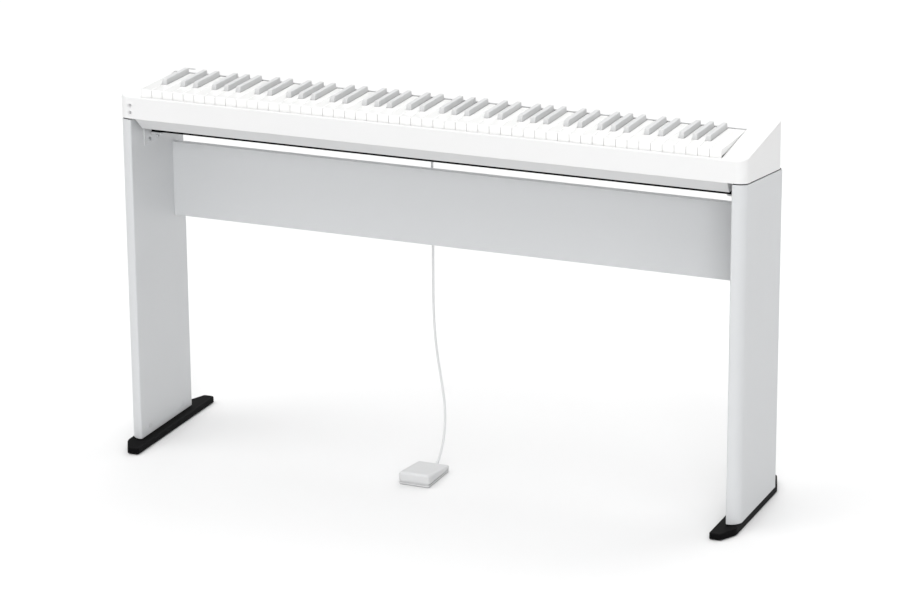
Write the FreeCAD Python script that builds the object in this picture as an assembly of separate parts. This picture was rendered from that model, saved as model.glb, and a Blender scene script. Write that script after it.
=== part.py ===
import FreeCAD, Part
import math
import os

# Digital piano on a furniture stand, with a foot switch on a cord.
# Millimetres. X to the player's right, Y away from the player, Z up, floor at Z = 0.

os.makedirs("parts", exist_ok=True)
V = FreeCAD.Vector

# ---- driving dimensions: the whole object
WIDTH = 1322.0            # over the side panels and over the piano
HALF = WIDTH / 2.0
FRONT_Y = -125.0          # front edges of the side panels and of the piano
DEPTH = 228.0
REAR_Y = FRONT_Y + DEPTH
SEAT_FRONT_Z = 700.0      # top of the side panels, which falls to the rear
SEAT_REAR_Z = 673.0
CORNER_R = 23.0           # outer front corners, in plan
SEAT_GAP = 2.5            # rubber strip between a side panel and the piano

# ---- stand
PANEL_T = 27.0
PANEL_IN = HALF - PANEL_T           # inner face of a side panel
PANEL_INNER_R = 3.5
PANEL_REAR_R = 2.0
FOOT_IN = 617.0
FOOT_TIP_X = 641.0
FOOT_HALF_L = 175.0
FOOT_TOP = 16.0
FOOT_BOTTOM = 1.5
FOOT_TIP_TOP = 14.0
FOOT_TAPER = 12.0         # the taper starts this far outside the panel
PAD_W, PAD_L, PAD_INSET = 20.0, 44.0, 8.0
STRIP_INSET = 2.0
FOOT_TAPER_R, FOOT_TIP_R, FOOT_INNER_R = 30.0, 8.0, 6.0
FOOT_CAM_R, FOOT_CAM_L, FOOT_CAM_Z = 6.0, 10.0, 33.0
FOOT_CAM_YS = (-84.0, 62.0)
BACK_Y0, BACK_T = 52.0, 15.0
BACK_Z0, BACK_Z1 = 450.0, 607.0
BACK_CAM_R, BACK_CAM_DEPTH = 7.5, 12.0
BACK_CAM_IN_X, BACK_CAM_IN_Z = 35.0, 25.0     # in from the board's ends and its long edges
CAM_PROUD = 0.4
RAIL_Y0, RAIL_Y1 = -40.0, -26.0
RAIL_Z0 = 652.0
SHOE_X0, SHOE_T, SHOE_SIDE = 608.0, 3.0, 4.0
BRACKET_T = 2.0
BRACKET_Y0, BRACKET_Y1 = -71.0, -6.0
BRACKET_Z0, BRACKET_Z1 = 629.0, 665.0
BRACKET_BOLT_Z = 638.0
BRACKET_BOLT_YS = (-50.0, -16.0)
BRACKET_BOLT_HEAD, BRACKET_BOLT_L = 3.0, 16.0
HEAD_R, SHANK_R = 4.5, 2.5           # heads and shanks of the stand's screws and bolts
FOOT_SCREW_SUNK, FOOT_SCREW_HEAD, FOOT_SCREW_L = 2.0, 2.5, 40.0
KNOB_X, KNOB_R, KNOB_H = 601.0, 5.5, 4.0
KNOB_PAST = 4.0           # the thumb bolt ends this far above the tray's floor

# ---- piano
CASE_FRONT_TOP = 745.0
CASE_REAR_TOP = 773.0
CASE_WALL = 3.0
CASE_REAR_R = 18.0
CASE_TOP_R = 2.5          # along the upper edges
WELL_HALF = 611.6
WELL_Y0, WELL_Y1 = -119.5, 32.5
TRAY_Z = 674.0
TRAY_TOP_HALF, TRAY_BOTTOM_HALF = 625.0, 621.0
TRAY_Y0, TRAY_SETBACK, TRAY_Y1 = -123.0, 25.0, 88.0
TRAY_FLOOR = 3.0
TRAY_HOLLOW_Y1 = 60.0
CASE_SCREWS = [(x, y) for x in (-560.0, -190.0, 190.0, 560.0) for y in (-84.0, 30.0)]
CASE_SCREW_HEAD_R, CASE_SCREW_HEAD, CASE_SCREW_R = 3.5, 1.5, 1.8
CASE_SCREW_SUNK, CASE_SCREW_GRIP = 0.5, 6.0
BOSS_R = 4.5
CHASSIS_Z0, CHASSIS_Z1 = 704.0, 722.0
CHASSIS_HALF = 609.0
CHASSIS_Y0, CHASSIS_Y1 = -112.0, 97.0
BOARD_T = 1.6
CONTACT_HALF, CONTACT_Y0, CONTACT_Y1 = 600.0, -60.0, 40.0
MAIN_X0, MAIN_X1, MAIN_Y0, MAIN_Y1 = -220.0, 40.0, 66.0, 97.0
SPEAKER_X, SPEAKER_Y = 420.0, 82.0
SPEAKER_L, SPEAKER_W, SPEAKER_H = 110.0, 28.0, 24.0
FRONT_FELT_Y0, FRONT_FELT_Y1, FRONT_FELT_Z1 = -110.0, -98.0, 729.0
REAR_FELT_GAP, REAR_FELT_Z0, REAR_FELT_Z1 = 1.2, 750.5, 762.6

# ---- keys
WHITE_PITCH = 23.5
WHITE_GAP = 1.0
WHITE_COUNT = 52
WHITE_TOP = 762.0
WHITE_UNDER = 748.0
WHITE_Y0, KEY_Y1 = -118.5, 30.0
LIP_Y1, LIP_Z0 = -113.0, 742.0
SHARP_TOP = 773.0
SHARP_Y0, SHARP_LEAN = -70.0, 4.0
SHARP_BASE_W, SHARP_TOP_W = 11.0, 9.4
NOTCH_CLEAR, NOTCH_FRONT = 1.0, 1.5
TAIL_Y1, TAIL_Z0 = 64.0, 740.0
PIVOT_Y, PIVOT_Z, PIVOT_R = 58.0, 739.5, 3.0
PIVOT_CLEAR = 0.3
RIB_T = 4.0               # web under the pivot rail
NATURAL_TAIL_W, SHARP_TAIL_W, TAIL_LAP = 9.0, 8.0, 12.0
NOTES = ("A", "As", "B", "C", "Cs", "D", "Ds", "E", "F", "Fs", "G", "Gs")
SHARP_OFFSET = {"Cs": -2.3, "Ds": 2.3, "Fs": -3.2, "Gs": 0.0, "As": 3.2}
SINGLE_OCTAVE = 4         # the octave whose twelve keys move one by one

# ---- sockets, button and foot switch
SOCKET_R = 3.25
SOCKET_DEPTH = 32.0
PHONES_BLOCK_HALF, PHONES_BLOCK = 6.5, 7.0     # half of the block's width and of its height
PHONES_BLOCK_Y0, PHONES_BLOCK_Y1 = -121.0, -89.0
PHONES_BUSH_R, PHONES_BUSH_L = 5.0, 10.0
PHONES_SUNK = 0.2
BUSH_WALL = 2.0
JACK_BLOCK_Y0, JACK_BLOCK_Y1, JACK_ABOVE = 66.0, 100.0, 7.4
PEDAL_JACK_HALF, DC_JACK_HALF = 8.0, 6.0
BUSH_PROUD = 0.4
PHONES_X = -634.5
PHONES_ZS = (712.0, 727.0)
PEDAL_JACK_X, DC_JACK_X, JACK_Z = -78.0, -130.0, 731.0
DC_R = 2.85
BUTTON_X, BUTTON_Y = -584.0, 48.0
BUTTON_L, BUTTON_W, BUTTON_PROUD = 21.0, 4.4, 0.8
BUTTON_CLEAR = 0.4
BUTTON_LOW, FLANGE_GAP, FLANGE_OUT = -4.6, 0.2, 4.0
PEDAL_X0, PEDAL_X1 = -56.0, 11.0
PEDAL_Y0, PEDAL_Y1 = -125.0, -22.0
PEDAL_SOLE, PEDAL_PLATE = 2.0, 4.5
PEDAL_FRONT_TOP, PEDAL_REAR_TOP = 27.0, 14.0
PEDAL_SKIRT_FRONT, PEDAL_SKIRT_REAR = 8.2, 5.6
PEDAL_WALL = 1.8
PEDAL_RIM_GAP, PEDAL_RIM_T = 0.6, 2.0     # the base's rim stands this far inside the lid
PEDAL_RIM_FRONT, PEDAL_RIM_REAR = 15.5, 10.0
LUG_W, LUG_FRONT, LUG_REAR, LUG_R = 5.0, 3.2, 2.6, 2.6
PEDAL_NOSE_R, PEDAL_FRONT_R, PEDAL_REAR_R, PEDAL_LEAST_R = 7.0, 6.0, 2.5, 0.4
PIN_Y, PIN_Z, PIN_R = -30.0, 8.6, 1.6
PIN_FIT = 0.05
NOTCH_HALF, NOTCH_TOP = 5.0, 12.6          # opening in the lid for the boot
CLAMP_HALF = 4.0
SPRING_Y, SPRING_L, SPRING_R, SPRING_BORE_R = -95.0, 16.2, 5.0, 3.8
BOOT_X, BOOT_Z, BOOT_L = -18.0, 7.4, 12.0
BOOT_TILT = 35.0          # the boot points back and up by this many degrees
BOOT_R0, BOOT_ROOT_R, BOOT_ROOT_L = 3.4, 2.2, 5.0
SLEEVE_WALL = 0.6         # rubber over the cord at the thin end of a relief
SOLE_INSET = 1.0
PIN_SHORT = 0.4           # the hinge pin ends this far inside the lid's faces
PLUG_HALF, PLUG_Z0, PLUG_Z1 = 6.0, 718.0, 738.0
PLUG_GAP, PLUG_OUT, PLUG_R = 0.6, 16.0, 3.0
PLUG_PIN_R, PLUG_PIN_IN, RELIEF_R = 3.15, 28.0, 4.6

# ---- cord of the foot switch
CORD_D = 5.0
# from the plug, down behind the back panel, and forward into the pedal's boot
CORD_ROUTE = (
    (-78.0, 113.0, 706.0),
    (-78.8, 113.6, 660.0),
    (-80.0, 115.4, 604.0),
    (-80.4, 116.0, 546.0),
    (-79.3, 114.0, 488.0),
    (-77.2, 109.6, 430.0),
    (-74.4, 102.6, 372.0),
    (-70.0, 92.6, 316.0),
    (-62.6, 80.0, 262.0),
    (-50.4, 65.5, 211.0),
    (-35.2, 51.0, 163.0),
    (-22.6, 37.4, 120.0),
    (-17.6, 25.6, 82.0),
    (-16.8, 15.4, 53.4),
    (-17.6, 6.7, 34.2),
    (-18.0, -2.6, 21.6),
    (-18.0, -12.17, 14.28),
)


def box(x0, x1, y0, y1, z0, z1):
    return Part.makeBox(x1 - x0, y1 - y0, z1 - z0, V(x0, y0, z0))


def rod(x, y, z, radius, length, along):
    return Part.makeCylinder(radius, length, V(x, y, z), along)


def yz_prism(points, x0, x1):
    """A side outline (y, z) carried from x0 to x1."""
    corners = [V(x0, y, z) for y, z in points]
    return Part.Face(Part.makePolygon(corners + corners[:1])).extrude(V(x1 - x0, 0, 0))


def xz_prism(points, y0, y1):
    """A front outline (x, z) carried from y0 to y1."""
    corners = [V(x, y0, z) for x, z in points]
    return Part.Face(Part.makePolygon(corners + corners[:1])).extrude(V(0, y1 - y0, 0))


def xy_prism(points, z0, z1):
    """A plan outline (x, y) carried from z0 to z1."""
    corners = [V(x, y, z0) for x, y in points]
    return Part.Face(Part.makePolygon(corners + corners[:1])).extrude(V(0, 0, z1 - z0))


def round_uprights(shape, rounds):
    """Round the vertical edges that stand at (x, y), one (x, y, radius) each."""
    for x, y, radius in rounds:
        for edge in shape.Edges:
            ends = [vertex.Point for vertex in edge.Vertexes]
            if len(ends) == 2 and all(math.hypot(p.x - x, p.y - y) < 0.01 for p in ends):
                shape = shape.makeFillet(radius, [edge])
                break
    return shape


def mirrored(shape):
    return shape.mirror(V(0, 0, 0), V(1, 0, 0))


def joined(solids):
    return Part.makeCompound(solids)


def write(name, shape):
    for solid in shape.Solids:
        if not solid.isValid() or solid.Volume <= 0:
            raise ValueError(name)
    shape.exportStep("parts/" + name + ".step")


def seat_z(y):
    """Height of the sloping seat, on which the piano's ends rest."""
    return SEAT_FRONT_Z + (y - FRONT_Y) * (SEAT_REAR_Z - SEAT_FRONT_Z) / DEPTH


def deck_z(y):
    """Height of the piano's sloping top."""
    return CASE_FRONT_TOP + (y - FRONT_Y) * (CASE_REAR_TOP - CASE_FRONT_TOP) / DEPTH


def both_sides(name, shape):
    write(name + "_right", shape)
    write(name + "_left", mirrored(shape))


# ---------------------------------------------------------------- stand

def foot_screw(y):
    """Countersunk from below the foot into the side panel."""
    x = (PANEL_IN + HALF) / 2.0
    low = FOOT_BOTTOM + FOOT_SCREW_SUNK
    head = rod(x, y, low, HEAD_R, FOOT_SCREW_HEAD, V(0, 0, 1))
    return head.fuse(rod(x, y, low + FOOT_SCREW_HEAD, SHANK_R, FOOT_SCREW_L, V(0, 0, 1)))


def bracket_bolt(y):
    """Round head on the bracket plate, shank in the side panel."""
    x = PANEL_IN - BRACKET_T
    head = rod(x - BRACKET_BOLT_HEAD, y, BRACKET_BOLT_Z, HEAD_R, BRACKET_BOLT_HEAD, V(1, 0, 0))
    return head.fuse(rod(x, y, BRACKET_BOLT_Z, SHANK_R, BRACKET_BOLT_L, V(1, 0, 0)))


def foot_cam(y):
    return rod(PANEL_IN - CAM_PROUD, y, FOOT_CAM_Z, FOOT_CAM_R, FOOT_CAM_L, V(1, 0, 0))


def side_panel():
    outline = [
        (FRONT_Y, FOOT_TOP), (REAR_Y, FOOT_TOP),
        (REAR_Y, SEAT_REAR_Z - SEAT_GAP), (FRONT_Y, SEAT_FRONT_Z - SEAT_GAP),
    ]
    board = box(PANEL_IN, HALF, FRONT_Y, REAR_Y, FOOT_TOP, SEAT_FRONT_Z)
    board = round_uprights(board, [
        (HALF, FRONT_Y, CORNER_R),
        (PANEL_IN, FRONT_Y, PANEL_INNER_R),
        (HALF, REAR_Y, PANEL_REAR_R),
        (PANEL_IN, REAR_Y, PANEL_REAR_R),
    ])
    board = board.common(yz_prism(outline, PANEL_IN, HALF))
    for y in FOOT_CAM_YS:
        board = board.cut(foot_cam(y)).cut(foot_screw(y))
    for y in BRACKET_BOLT_YS:
        board = board.cut(bracket_bolt(y))
    return board


def foot():
    taper_y = -FRONT_Y + FOOT_TAPER
    plan = [
        (FOOT_IN, -FOOT_HALF_L), (FOOT_TIP_X, -FOOT_HALF_L), (HALF, -taper_y),
        (HALF, REAR_Y + FOOT_TAPER), (FOOT_TIP_X, FOOT_HALF_L), (FOOT_IN, FOOT_HALF_L),
    ]
    side = [
        (-FOOT_HALF_L, FOOT_BOTTOM), (FOOT_HALF_L, FOOT_BOTTOM), (FOOT_HALF_L, FOOT_TIP_TOP),
        (REAR_Y, FOOT_TOP), (FRONT_Y, FOOT_TOP), (-FOOT_HALF_L, FOOT_TIP_TOP),
    ]
    body = xy_prism(plan, FOOT_BOTTOM, FOOT_TOP)
    body = round_uprights(body, [
        (FOOT_IN, -FOOT_HALF_L, FOOT_INNER_R), (FOOT_IN, FOOT_HALF_L, FOOT_INNER_R),
        (FOOT_TIP_X, -FOOT_HALF_L, FOOT_TIP_R), (FOOT_TIP_X, FOOT_HALF_L, FOOT_TIP_R),
        (HALF, -taper_y, FOOT_TAPER_R), (HALF, REAR_Y + FOOT_TAPER, FOOT_TAPER_R),
    ])
    body = body.common(yz_prism(side, FOOT_IN, HALF))
    for y in FOOT_CAM_YS:
        body = body.cut(foot_screw(y))
        body = body.cut(rod((PANEL_IN + HALF) / 2.0, y, 0, HEAD_R, FOOT_BOTTOM + FOOT_SCREW_SUNK, V(0, 0, 1)))
    return body


def seat_strip():
    """Rubber strip on a side panel's sloping top, set in from its faces."""
    x0, x1 = PANEL_IN + STRIP_INSET, HALF - STRIP_INSET
    y0, y1 = FRONT_Y + STRIP_INSET, REAR_Y - STRIP_INSET
    side = [
        (y0, seat_z(y0) - SEAT_GAP), (y1, seat_z(y1) - SEAT_GAP), (y1, seat_z(y1)), (y0, seat_z(y0)),
    ]
    plan = box(x0, x1, y0, y1, SEAT_REAR_Z - 10.0, SEAT_FRONT_Z + 10.0)
    plan = round_uprights(plan, [(x1, y0, CORNER_R - STRIP_INSET)])
    return plan.common(yz_prism(side, x0, x1))


def rubber_pads():
    """Two pads under each foot, and the strip on top of each side panel."""
    pads = [seat_strip(), mirrored(seat_strip())]
    for side in (-1, 1):
        x = side * (FOOT_IN + FOOT_TIP_X) / 2.0
        reach = FOOT_HALF_L - PAD_INSET - PAD_L / 2.0
        for y in (-reach, reach):
            pads.append(box(x - PAD_W / 2, x + PAD_W / 2, y - PAD_L / 2, y + PAD_L / 2, 0, FOOT_BOTTOM))
    return joined(pads)


def back_cams():
    cams = []
    for x in (PANEL_IN - BACK_CAM_IN_X, BACK_CAM_IN_X - PANEL_IN):
        for z in (BACK_Z0 + BACK_CAM_IN_Z, BACK_Z1 - BACK_CAM_IN_Z):
            start = BACK_Y0 + BACK_T - BACK_CAM_DEPTH
            cams.append(rod(x, start, z, BACK_CAM_R, BACK_CAM_DEPTH + CAM_PROUD, V(0, 1, 0)))
    return cams


def back_panel():
    board = box(-PANEL_IN, PANEL_IN, BACK_Y0, BACK_Y0 + BACK_T, BACK_Z0, BACK_Z1)
    for cam in back_cams():
        board = board.cut(cam)
    return board


def bracket():
    """Steel plate on the side panel's inner face, under the rail's end."""
    plate = box(PANEL_IN - BRACKET_T, PANEL_IN, BRACKET_Y0, BRACKET_Y1, BRACKET_Z0, BRACKET_Z1)
    for y in BRACKET_BOLT_YS:
        plate = plate.cut(bracket_bolt(y))
    return plate


def knob_bolt():
    """Thumb bolt up through the rail into the piano's floor."""
    x, y = KNOB_X, (RAIL_Y0 + RAIL_Y1) / 2.0
    head = rod(x, y, RAIL_Z0 - KNOB_H, KNOB_R, KNOB_H, V(0, 0, 1))
    return head.fuse(rod(x, y, RAIL_Z0, SHANK_R, TRAY_Z + TRAY_FLOOR - RAIL_Z0 + KNOB_PAST, V(0, 0, 1)))


def cross_rail():
    end = PANEL_IN - BRACKET_T
    bar = box(-end, end, RAIL_Y0, RAIL_Y1, RAIL_Z0, TRAY_Z)
    for x0, x1 in ((SHOE_X0, end), (-end, -SHOE_X0)):
        bar = bar.fuse(box(x0, x1, RAIL_Y0 - SHOE_SIDE, RAIL_Y1 + SHOE_SIDE, RAIL_Z0 - SHOE_T, RAIL_Z0))
    bolt = knob_bolt()
    return bar.removeSplitter().cut(bolt).cut(mirrored(bolt))


def stand():
    both_sides("side_panel", side_panel())
    both_sides("foot", foot())
    both_sides("bracket_plate", bracket())
    write("rubber_pads", rubber_pads())
    write("back_panel", back_panel())
    write("back_panel_cams", joined(back_cams()))
    write("cross_rail", cross_rail())
    right = [foot_cam(y) for y in FOOT_CAM_YS]
    write("foot_cams", joined(right + [mirrored(s) for s in right]))
    right = [foot_screw(y) for y in FOOT_CAM_YS]
    write("foot_screws", joined(right + [mirrored(s) for s in right]))
    right = [bracket_bolt(y) for y in BRACKET_BOLT_YS]
    write("bracket_bolts", joined(right + [mirrored(s) for s in right]))
    write("knob_bolts", joined([knob_bolt(), mirrored(knob_bolt())]))


# ---------------------------------------------------------------- piano case

def on_deck(shape):
    """Lay a shape made around the origin on the sloping top, at the button's place."""
    slope = math.degrees(math.atan2(CASE_REAR_TOP - CASE_FRONT_TOP, DEPTH))
    shape.rotate(V(0, 0, 0), V(1, 0, 0), slope)
    shape.translate(V(BUTTON_X, BUTTON_Y, deck_z(BUTTON_Y)))
    return shape


def oblong(length, width, z0, z1):
    """A bar with round ends, standing on z0."""
    radius = width / 2.0
    half = length / 2.0 - radius
    bar = box(-half, half, -radius, radius, z0, z1)
    for x in (-half, half):
        bar = bar.fuse(rod(x, 0, z0, radius, z1 - z0, V(0, 0, 1)))
    return bar.removeSplitter()


def power_button():
    """The cap, with a flange below that the case's underside holds in."""
    cap = oblong(BUTTON_L, BUTTON_W, BUTTON_LOW, BUTTON_PROUD)
    flange = oblong(BUTTON_L + FLANGE_OUT, BUTTON_W + FLANGE_OUT, BUTTON_LOW, -CASE_WALL - FLANGE_GAP)
    return on_deck(cap.fuse(flange).removeSplitter())


def phones_block(z):
    x0, x1 = PHONES_X - PHONES_BLOCK_HALF, PHONES_X + PHONES_BLOCK_HALF
    return box(x0, x1, PHONES_BLOCK_Y0, PHONES_BLOCK_Y1, z - PHONES_BLOCK, z + PHONES_BLOCK)


def phones_body(z):
    """One headphone socket: a threaded bush in the front face and its block."""
    bush = rod(PHONES_X, FRONT_Y + PHONES_SUNK, z, PHONES_BUSH_R, PHONES_BUSH_L, V(0, 1, 0))
    bore = rod(PHONES_X, FRONT_Y, z, SOCKET_R, SOCKET_DEPTH, V(0, 1, 0))
    return phones_block(z).fuse(bush).cut(bore)


def phones_hole(z):
    """The room that a headphone socket takes in the case."""
    return phones_block(z).fuse(rod(PHONES_X, FRONT_Y, z, PHONES_BUSH_R, PHONES_BUSH_L, V(0, 1, 0)))


def rear_jack(x, bore_r, block_half):
    """A socket in the rear wall: its block on the main board and a bush just proud of the wall."""
    x0, x1 = x - block_half, x + block_half
    block = box(x0, x1, JACK_BLOCK_Y0, JACK_BLOCK_Y1, CHASSIS_Z1 + BOARD_T, JACK_Z + JACK_ABOVE)
    mouth = REAR_Y + BUSH_PROUD
    bush = rod(x, mouth - SOCKET_DEPTH, JACK_Z, bore_r + BUSH_WALL, SOCKET_DEPTH, V(0, 1, 0))
    bore = rod(x, mouth - SOCKET_DEPTH, JACK_Z, bore_r, SOCKET_DEPTH, V(0, 1, 0))
    return block.fuse(bush).cut(bore)


def upper_case():
    side = [
        (FRONT_Y, SEAT_FRONT_Z), (REAR_Y, SEAT_REAR_Z), (REAR_Y, CASE_REAR_TOP), (FRONT_Y, CASE_FRONT_TOP),
    ]
    hollow = [
        (WELL_Y0, SEAT_REAR_Z - 10.0), (REAR_Y - CASE_WALL, SEAT_REAR_Z - 10.0),
        (REAR_Y - CASE_WALL, deck_z(REAR_Y - CASE_WALL) - CASE_WALL),
        (WELL_Y1, deck_z(WELL_Y1) - CASE_WALL), (WELL_Y1, CASE_REAR_TOP + 10.0),
        (WELL_Y0, CASE_REAR_TOP + 10.0),
    ]
    block = box(-HALF, HALF, FRONT_Y, REAR_Y, SEAT_REAR_Z, CASE_REAR_TOP)
    block = round_uprights(block, [
        (HALF, FRONT_Y, CORNER_R), (-HALF, FRONT_Y, CORNER_R),
        (HALF, REAR_Y, CASE_REAR_R), (-HALF, REAR_Y, CASE_REAR_R),
    ])
    block = block.common(yz_prism(side, -HALF, HALF))
    top_edges = []
    for edge in block.Edges:
        middle = edge.valueAt((edge.FirstParameter + edge.LastParameter) / 2.0)
        level = all(abs(vertex.Z - deck_z(vertex.Y)) < 0.01 for vertex in edge.Vertexes)
        if level and abs(middle.z - deck_z(middle.y)) < 0.01:
            top_edges.append(edge)
    block = block.makeFillet(CASE_TOP_R, top_edges)
    block = block.cut(yz_prism(hollow, -WELL_HALF, WELL_HALF))
    for z in PHONES_ZS:
        block = block.cut(phones_hole(z))
    for x, radius in ((PEDAL_JACK_X, SOCKET_R), (DC_JACK_X, DC_R)):
        block = block.cut(rod(x, REAR_Y - 10.0, JACK_Z, radius + BUSH_WALL, 20.0, V(0, 1, 0)))
    slot = oblong(BUTTON_L + 2 * BUTTON_CLEAR, BUTTON_W + 2 * BUTTON_CLEAR, -8.0, 5.0)
    return block.cut(on_deck(slot))


def case_screw(x, y):
    """Up through the tray's floor into a boss of the key chassis."""
    low = TRAY_Z + CASE_SCREW_SUNK
    neck = low + CASE_SCREW_HEAD
    head = rod(x, y, low, CASE_SCREW_HEAD_R, CASE_SCREW_HEAD, V(0, 0, 1))
    return head.fuse(rod(x, y, neck, CASE_SCREW_R, CHASSIS_Z0 + CASE_SCREW_GRIP - neck, V(0, 0, 1)))


def lower_case():
    """The wedge-shaped tray between the side panels; its floor is level."""
    side = [
        (TRAY_Y0, seat_z(TRAY_Y0)), (TRAY_Y0 + TRAY_SETBACK, TRAY_Z),
        (TRAY_Y1, TRAY_Z), (TRAY_Y1, seat_z(TRAY_Y1)),
    ]
    front = [
        (-TRAY_TOP_HALF, SEAT_FRONT_Z), (TRAY_TOP_HALF, SEAT_FRONT_Z),
        (TRAY_BOTTOM_HALF, TRAY_Z), (-TRAY_BOTTOM_HALF, TRAY_Z),
    ]
    wall = TRAY_FLOOR * math.sqrt(2.0)
    hollow = [
        (TRAY_Y0 + TRAY_SETBACK - TRAY_FLOOR + wall, TRAY_Z + TRAY_FLOOR),
        (TRAY_HOLLOW_Y1, TRAY_Z + TRAY_FLOOR), (TRAY_HOLLOW_Y1, SEAT_FRONT_Z),
        (TRAY_Y0 + wall, SEAT_FRONT_Z),
    ]
    inside = yz_prism(hollow, -CHASSIS_HALF, CHASSIS_HALF)
    tray = yz_prism(side, -TRAY_TOP_HALF, TRAY_TOP_HALF)
    tray = tray.common(xz_prism(front, TRAY_Y0, TRAY_Y1)).cut(inside)
    for x, y in CASE_SCREWS:
        recess = rod(x, y, TRAY_Z, CASE_SCREW_HEAD_R, CASE_SCREW_SUNK, V(0, 0, 1))
        tray = tray.cut(case_screw(x, y)).cut(recess)
    bolt = knob_bolt()
    return tray.cut(bolt).cut(mirrored(bolt))


def key_chassis():
    """Moulded frame under the keys, with the round pivot rail at its rear."""
    frame = box(-CHASSIS_HALF, CHASSIS_HALF, CHASSIS_Y0, CHASSIS_Y1, CHASSIS_Z0, CHASSIS_Z1)
    rib = box(-CHASSIS_HALF, CHASSIS_HALF, PIVOT_Y - RIB_T / 2, PIVOT_Y + RIB_T / 2, CHASSIS_Z1, PIVOT_Z)
    rail = rod(-CHASSIS_HALF, PIVOT_Y, PIVOT_Z, PIVOT_R, 2 * CHASSIS_HALF, V(1, 0, 0))
    frame = frame.fuse(rib).fuse(rail)
    for x, y in CASE_SCREWS:
        low = TRAY_Z + TRAY_FLOOR
        frame = frame.fuse(rod(x, y, low, BOSS_R, CHASSIS_Z0 - low, V(0, 0, 1)))
    frame = frame.removeSplitter()
    for x, y in CASE_SCREWS:
        frame = frame.cut(case_screw(x, y))
    return frame


def speakers():
    """Two oblong drivers behind the keys."""
    pair = []
    for x in (-SPEAKER_X, SPEAKER_X):
        driver = oblong(SPEAKER_L, SPEAKER_W, CHASSIS_Z1, CHASSIS_Z1 + SPEAKER_H)
        driver.translate(V(x, SPEAKER_Y, 0))
        pair.append(driver)
    return joined(pair)


def piano_case():
    write("upper_case", upper_case())
    write("lower_case", lower_case())
    write("case_screws", joined([case_screw(x, y) for x, y in CASE_SCREWS]))
    write("key_chassis", key_chassis())
    felt_y0 = KEY_Y1 + REAR_FELT_GAP
    board_top = CHASSIS_Z1 + BOARD_T
    write("front_felt", box(
        -CHASSIS_HALF, CHASSIS_HALF, FRONT_FELT_Y0, FRONT_FELT_Y1, CHASSIS_Z1, FRONT_FELT_Z1))
    write("rear_felt", box(-WELL_HALF, WELL_HALF, felt_y0, WELL_Y1, REAR_FELT_Z0, REAR_FELT_Z1))
    write("contact_board", box(-CONTACT_HALF, CONTACT_HALF, CONTACT_Y0, CONTACT_Y1, CHASSIS_Z1, board_top))
    write("main_board", box(MAIN_X0, MAIN_X1, MAIN_Y0, MAIN_Y1, CHASSIS_Z1, board_top))
    write("speakers", speakers())
    write("power_button", power_button())
    write("headphone_sockets", joined([phones_body(z) for z in PHONES_ZS]))
    write("rear_sockets", joined([
        rear_jack(PEDAL_JACK_X, SOCKET_R, PEDAL_JACK_HALF), rear_jack(DC_JACK_X, DC_R, DC_JACK_HALF),
    ]))


# ---------------------------------------------------------------- keys

def key_table():
    """(note, octave, x) for the 88 keys: x is a natural's centre or a sharp's centre."""
    table = []
    naturals = 0
    for number in range(88):
        note = NOTES[number % 12]
        octave = (number + 9) // 12
        edge = (naturals - WHITE_COUNT / 2.0) * WHITE_PITCH
        if note in SHARP_OFFSET:
            table.append((note, octave, edge + SHARP_OFFSET[note]))
        else:
            table.append((note, octave, edge + WHITE_PITCH / 2.0))
            naturals += 1
    return table


def tail(x, width):
    """Rear end of a key, grooved below to sit over the pivot rail."""
    bar = box(x - width / 2, x + width / 2, KEY_Y1 - TAIL_LAP, TAIL_Y1, TAIL_Z0, WHITE_UNDER)
    return bar.cut(rod(x - width / 2, PIVOT_Y, PIVOT_Z, PIVOT_R + PIVOT_CLEAR, width, V(1, 0, 0)))


def natural_key(x, sharps):
    """A natural, notched beside each sharp that it borders."""
    x0 = x - (WHITE_PITCH - WHITE_GAP) / 2.0
    x1 = x + (WHITE_PITCH - WHITE_GAP) / 2.0
    left, right = x0, x1
    half = SHARP_BASE_W / 2.0 + NOTCH_CLEAR
    for sharp in sharps:
        if x - WHITE_PITCH < sharp < x:
            left = max(left, sharp + half)
        if x < sharp < x + WHITE_PITCH:
            right = min(right, sharp - half)
    notch_y = SHARP_Y0 - NOTCH_FRONT
    plan = [(x0, WHITE_Y0), (x1, WHITE_Y0)]
    if right < x1:
        plan += [(x1, notch_y), (right, notch_y)]
    plan += [(right, KEY_Y1), (left, KEY_Y1)]
    if left > x0:
        plan += [(left, notch_y), (x0, notch_y)]
    key = xy_prism(plan, WHITE_UNDER, WHITE_TOP)
    key = key.fuse(box(x0, x1, WHITE_Y0, LIP_Y1, LIP_Z0, WHITE_UNDER))
    key = key.fuse(tail((left + right) / 2.0, min(right - left, NATURAL_TAIL_W)))
    return key.removeSplitter()


def sharp_key(x):
    """A sharp with sides that lean in and a front that leans back."""
    base, top = SHARP_BASE_W / 2.0, SHARP_TOP_W / 2.0
    front = [
        (x - base, WHITE_UNDER), (x + base, WHITE_UNDER), (x + base, WHITE_TOP),
        (x + top, SHARP_TOP), (x - top, SHARP_TOP), (x - base, WHITE_TOP),
    ]
    side = [
        (SHARP_Y0, WHITE_UNDER), (KEY_Y1, WHITE_UNDER), (KEY_Y1, SHARP_TOP),
        (SHARP_Y0 + SHARP_LEAN, SHARP_TOP), (SHARP_Y0, WHITE_TOP),
    ]
    key = xz_prism(front, SHARP_Y0, KEY_Y1).common(yz_prism(side, x - base, x + base))
    return key.fuse(tail(x, SHARP_TAIL_W)).removeSplitter()


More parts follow.
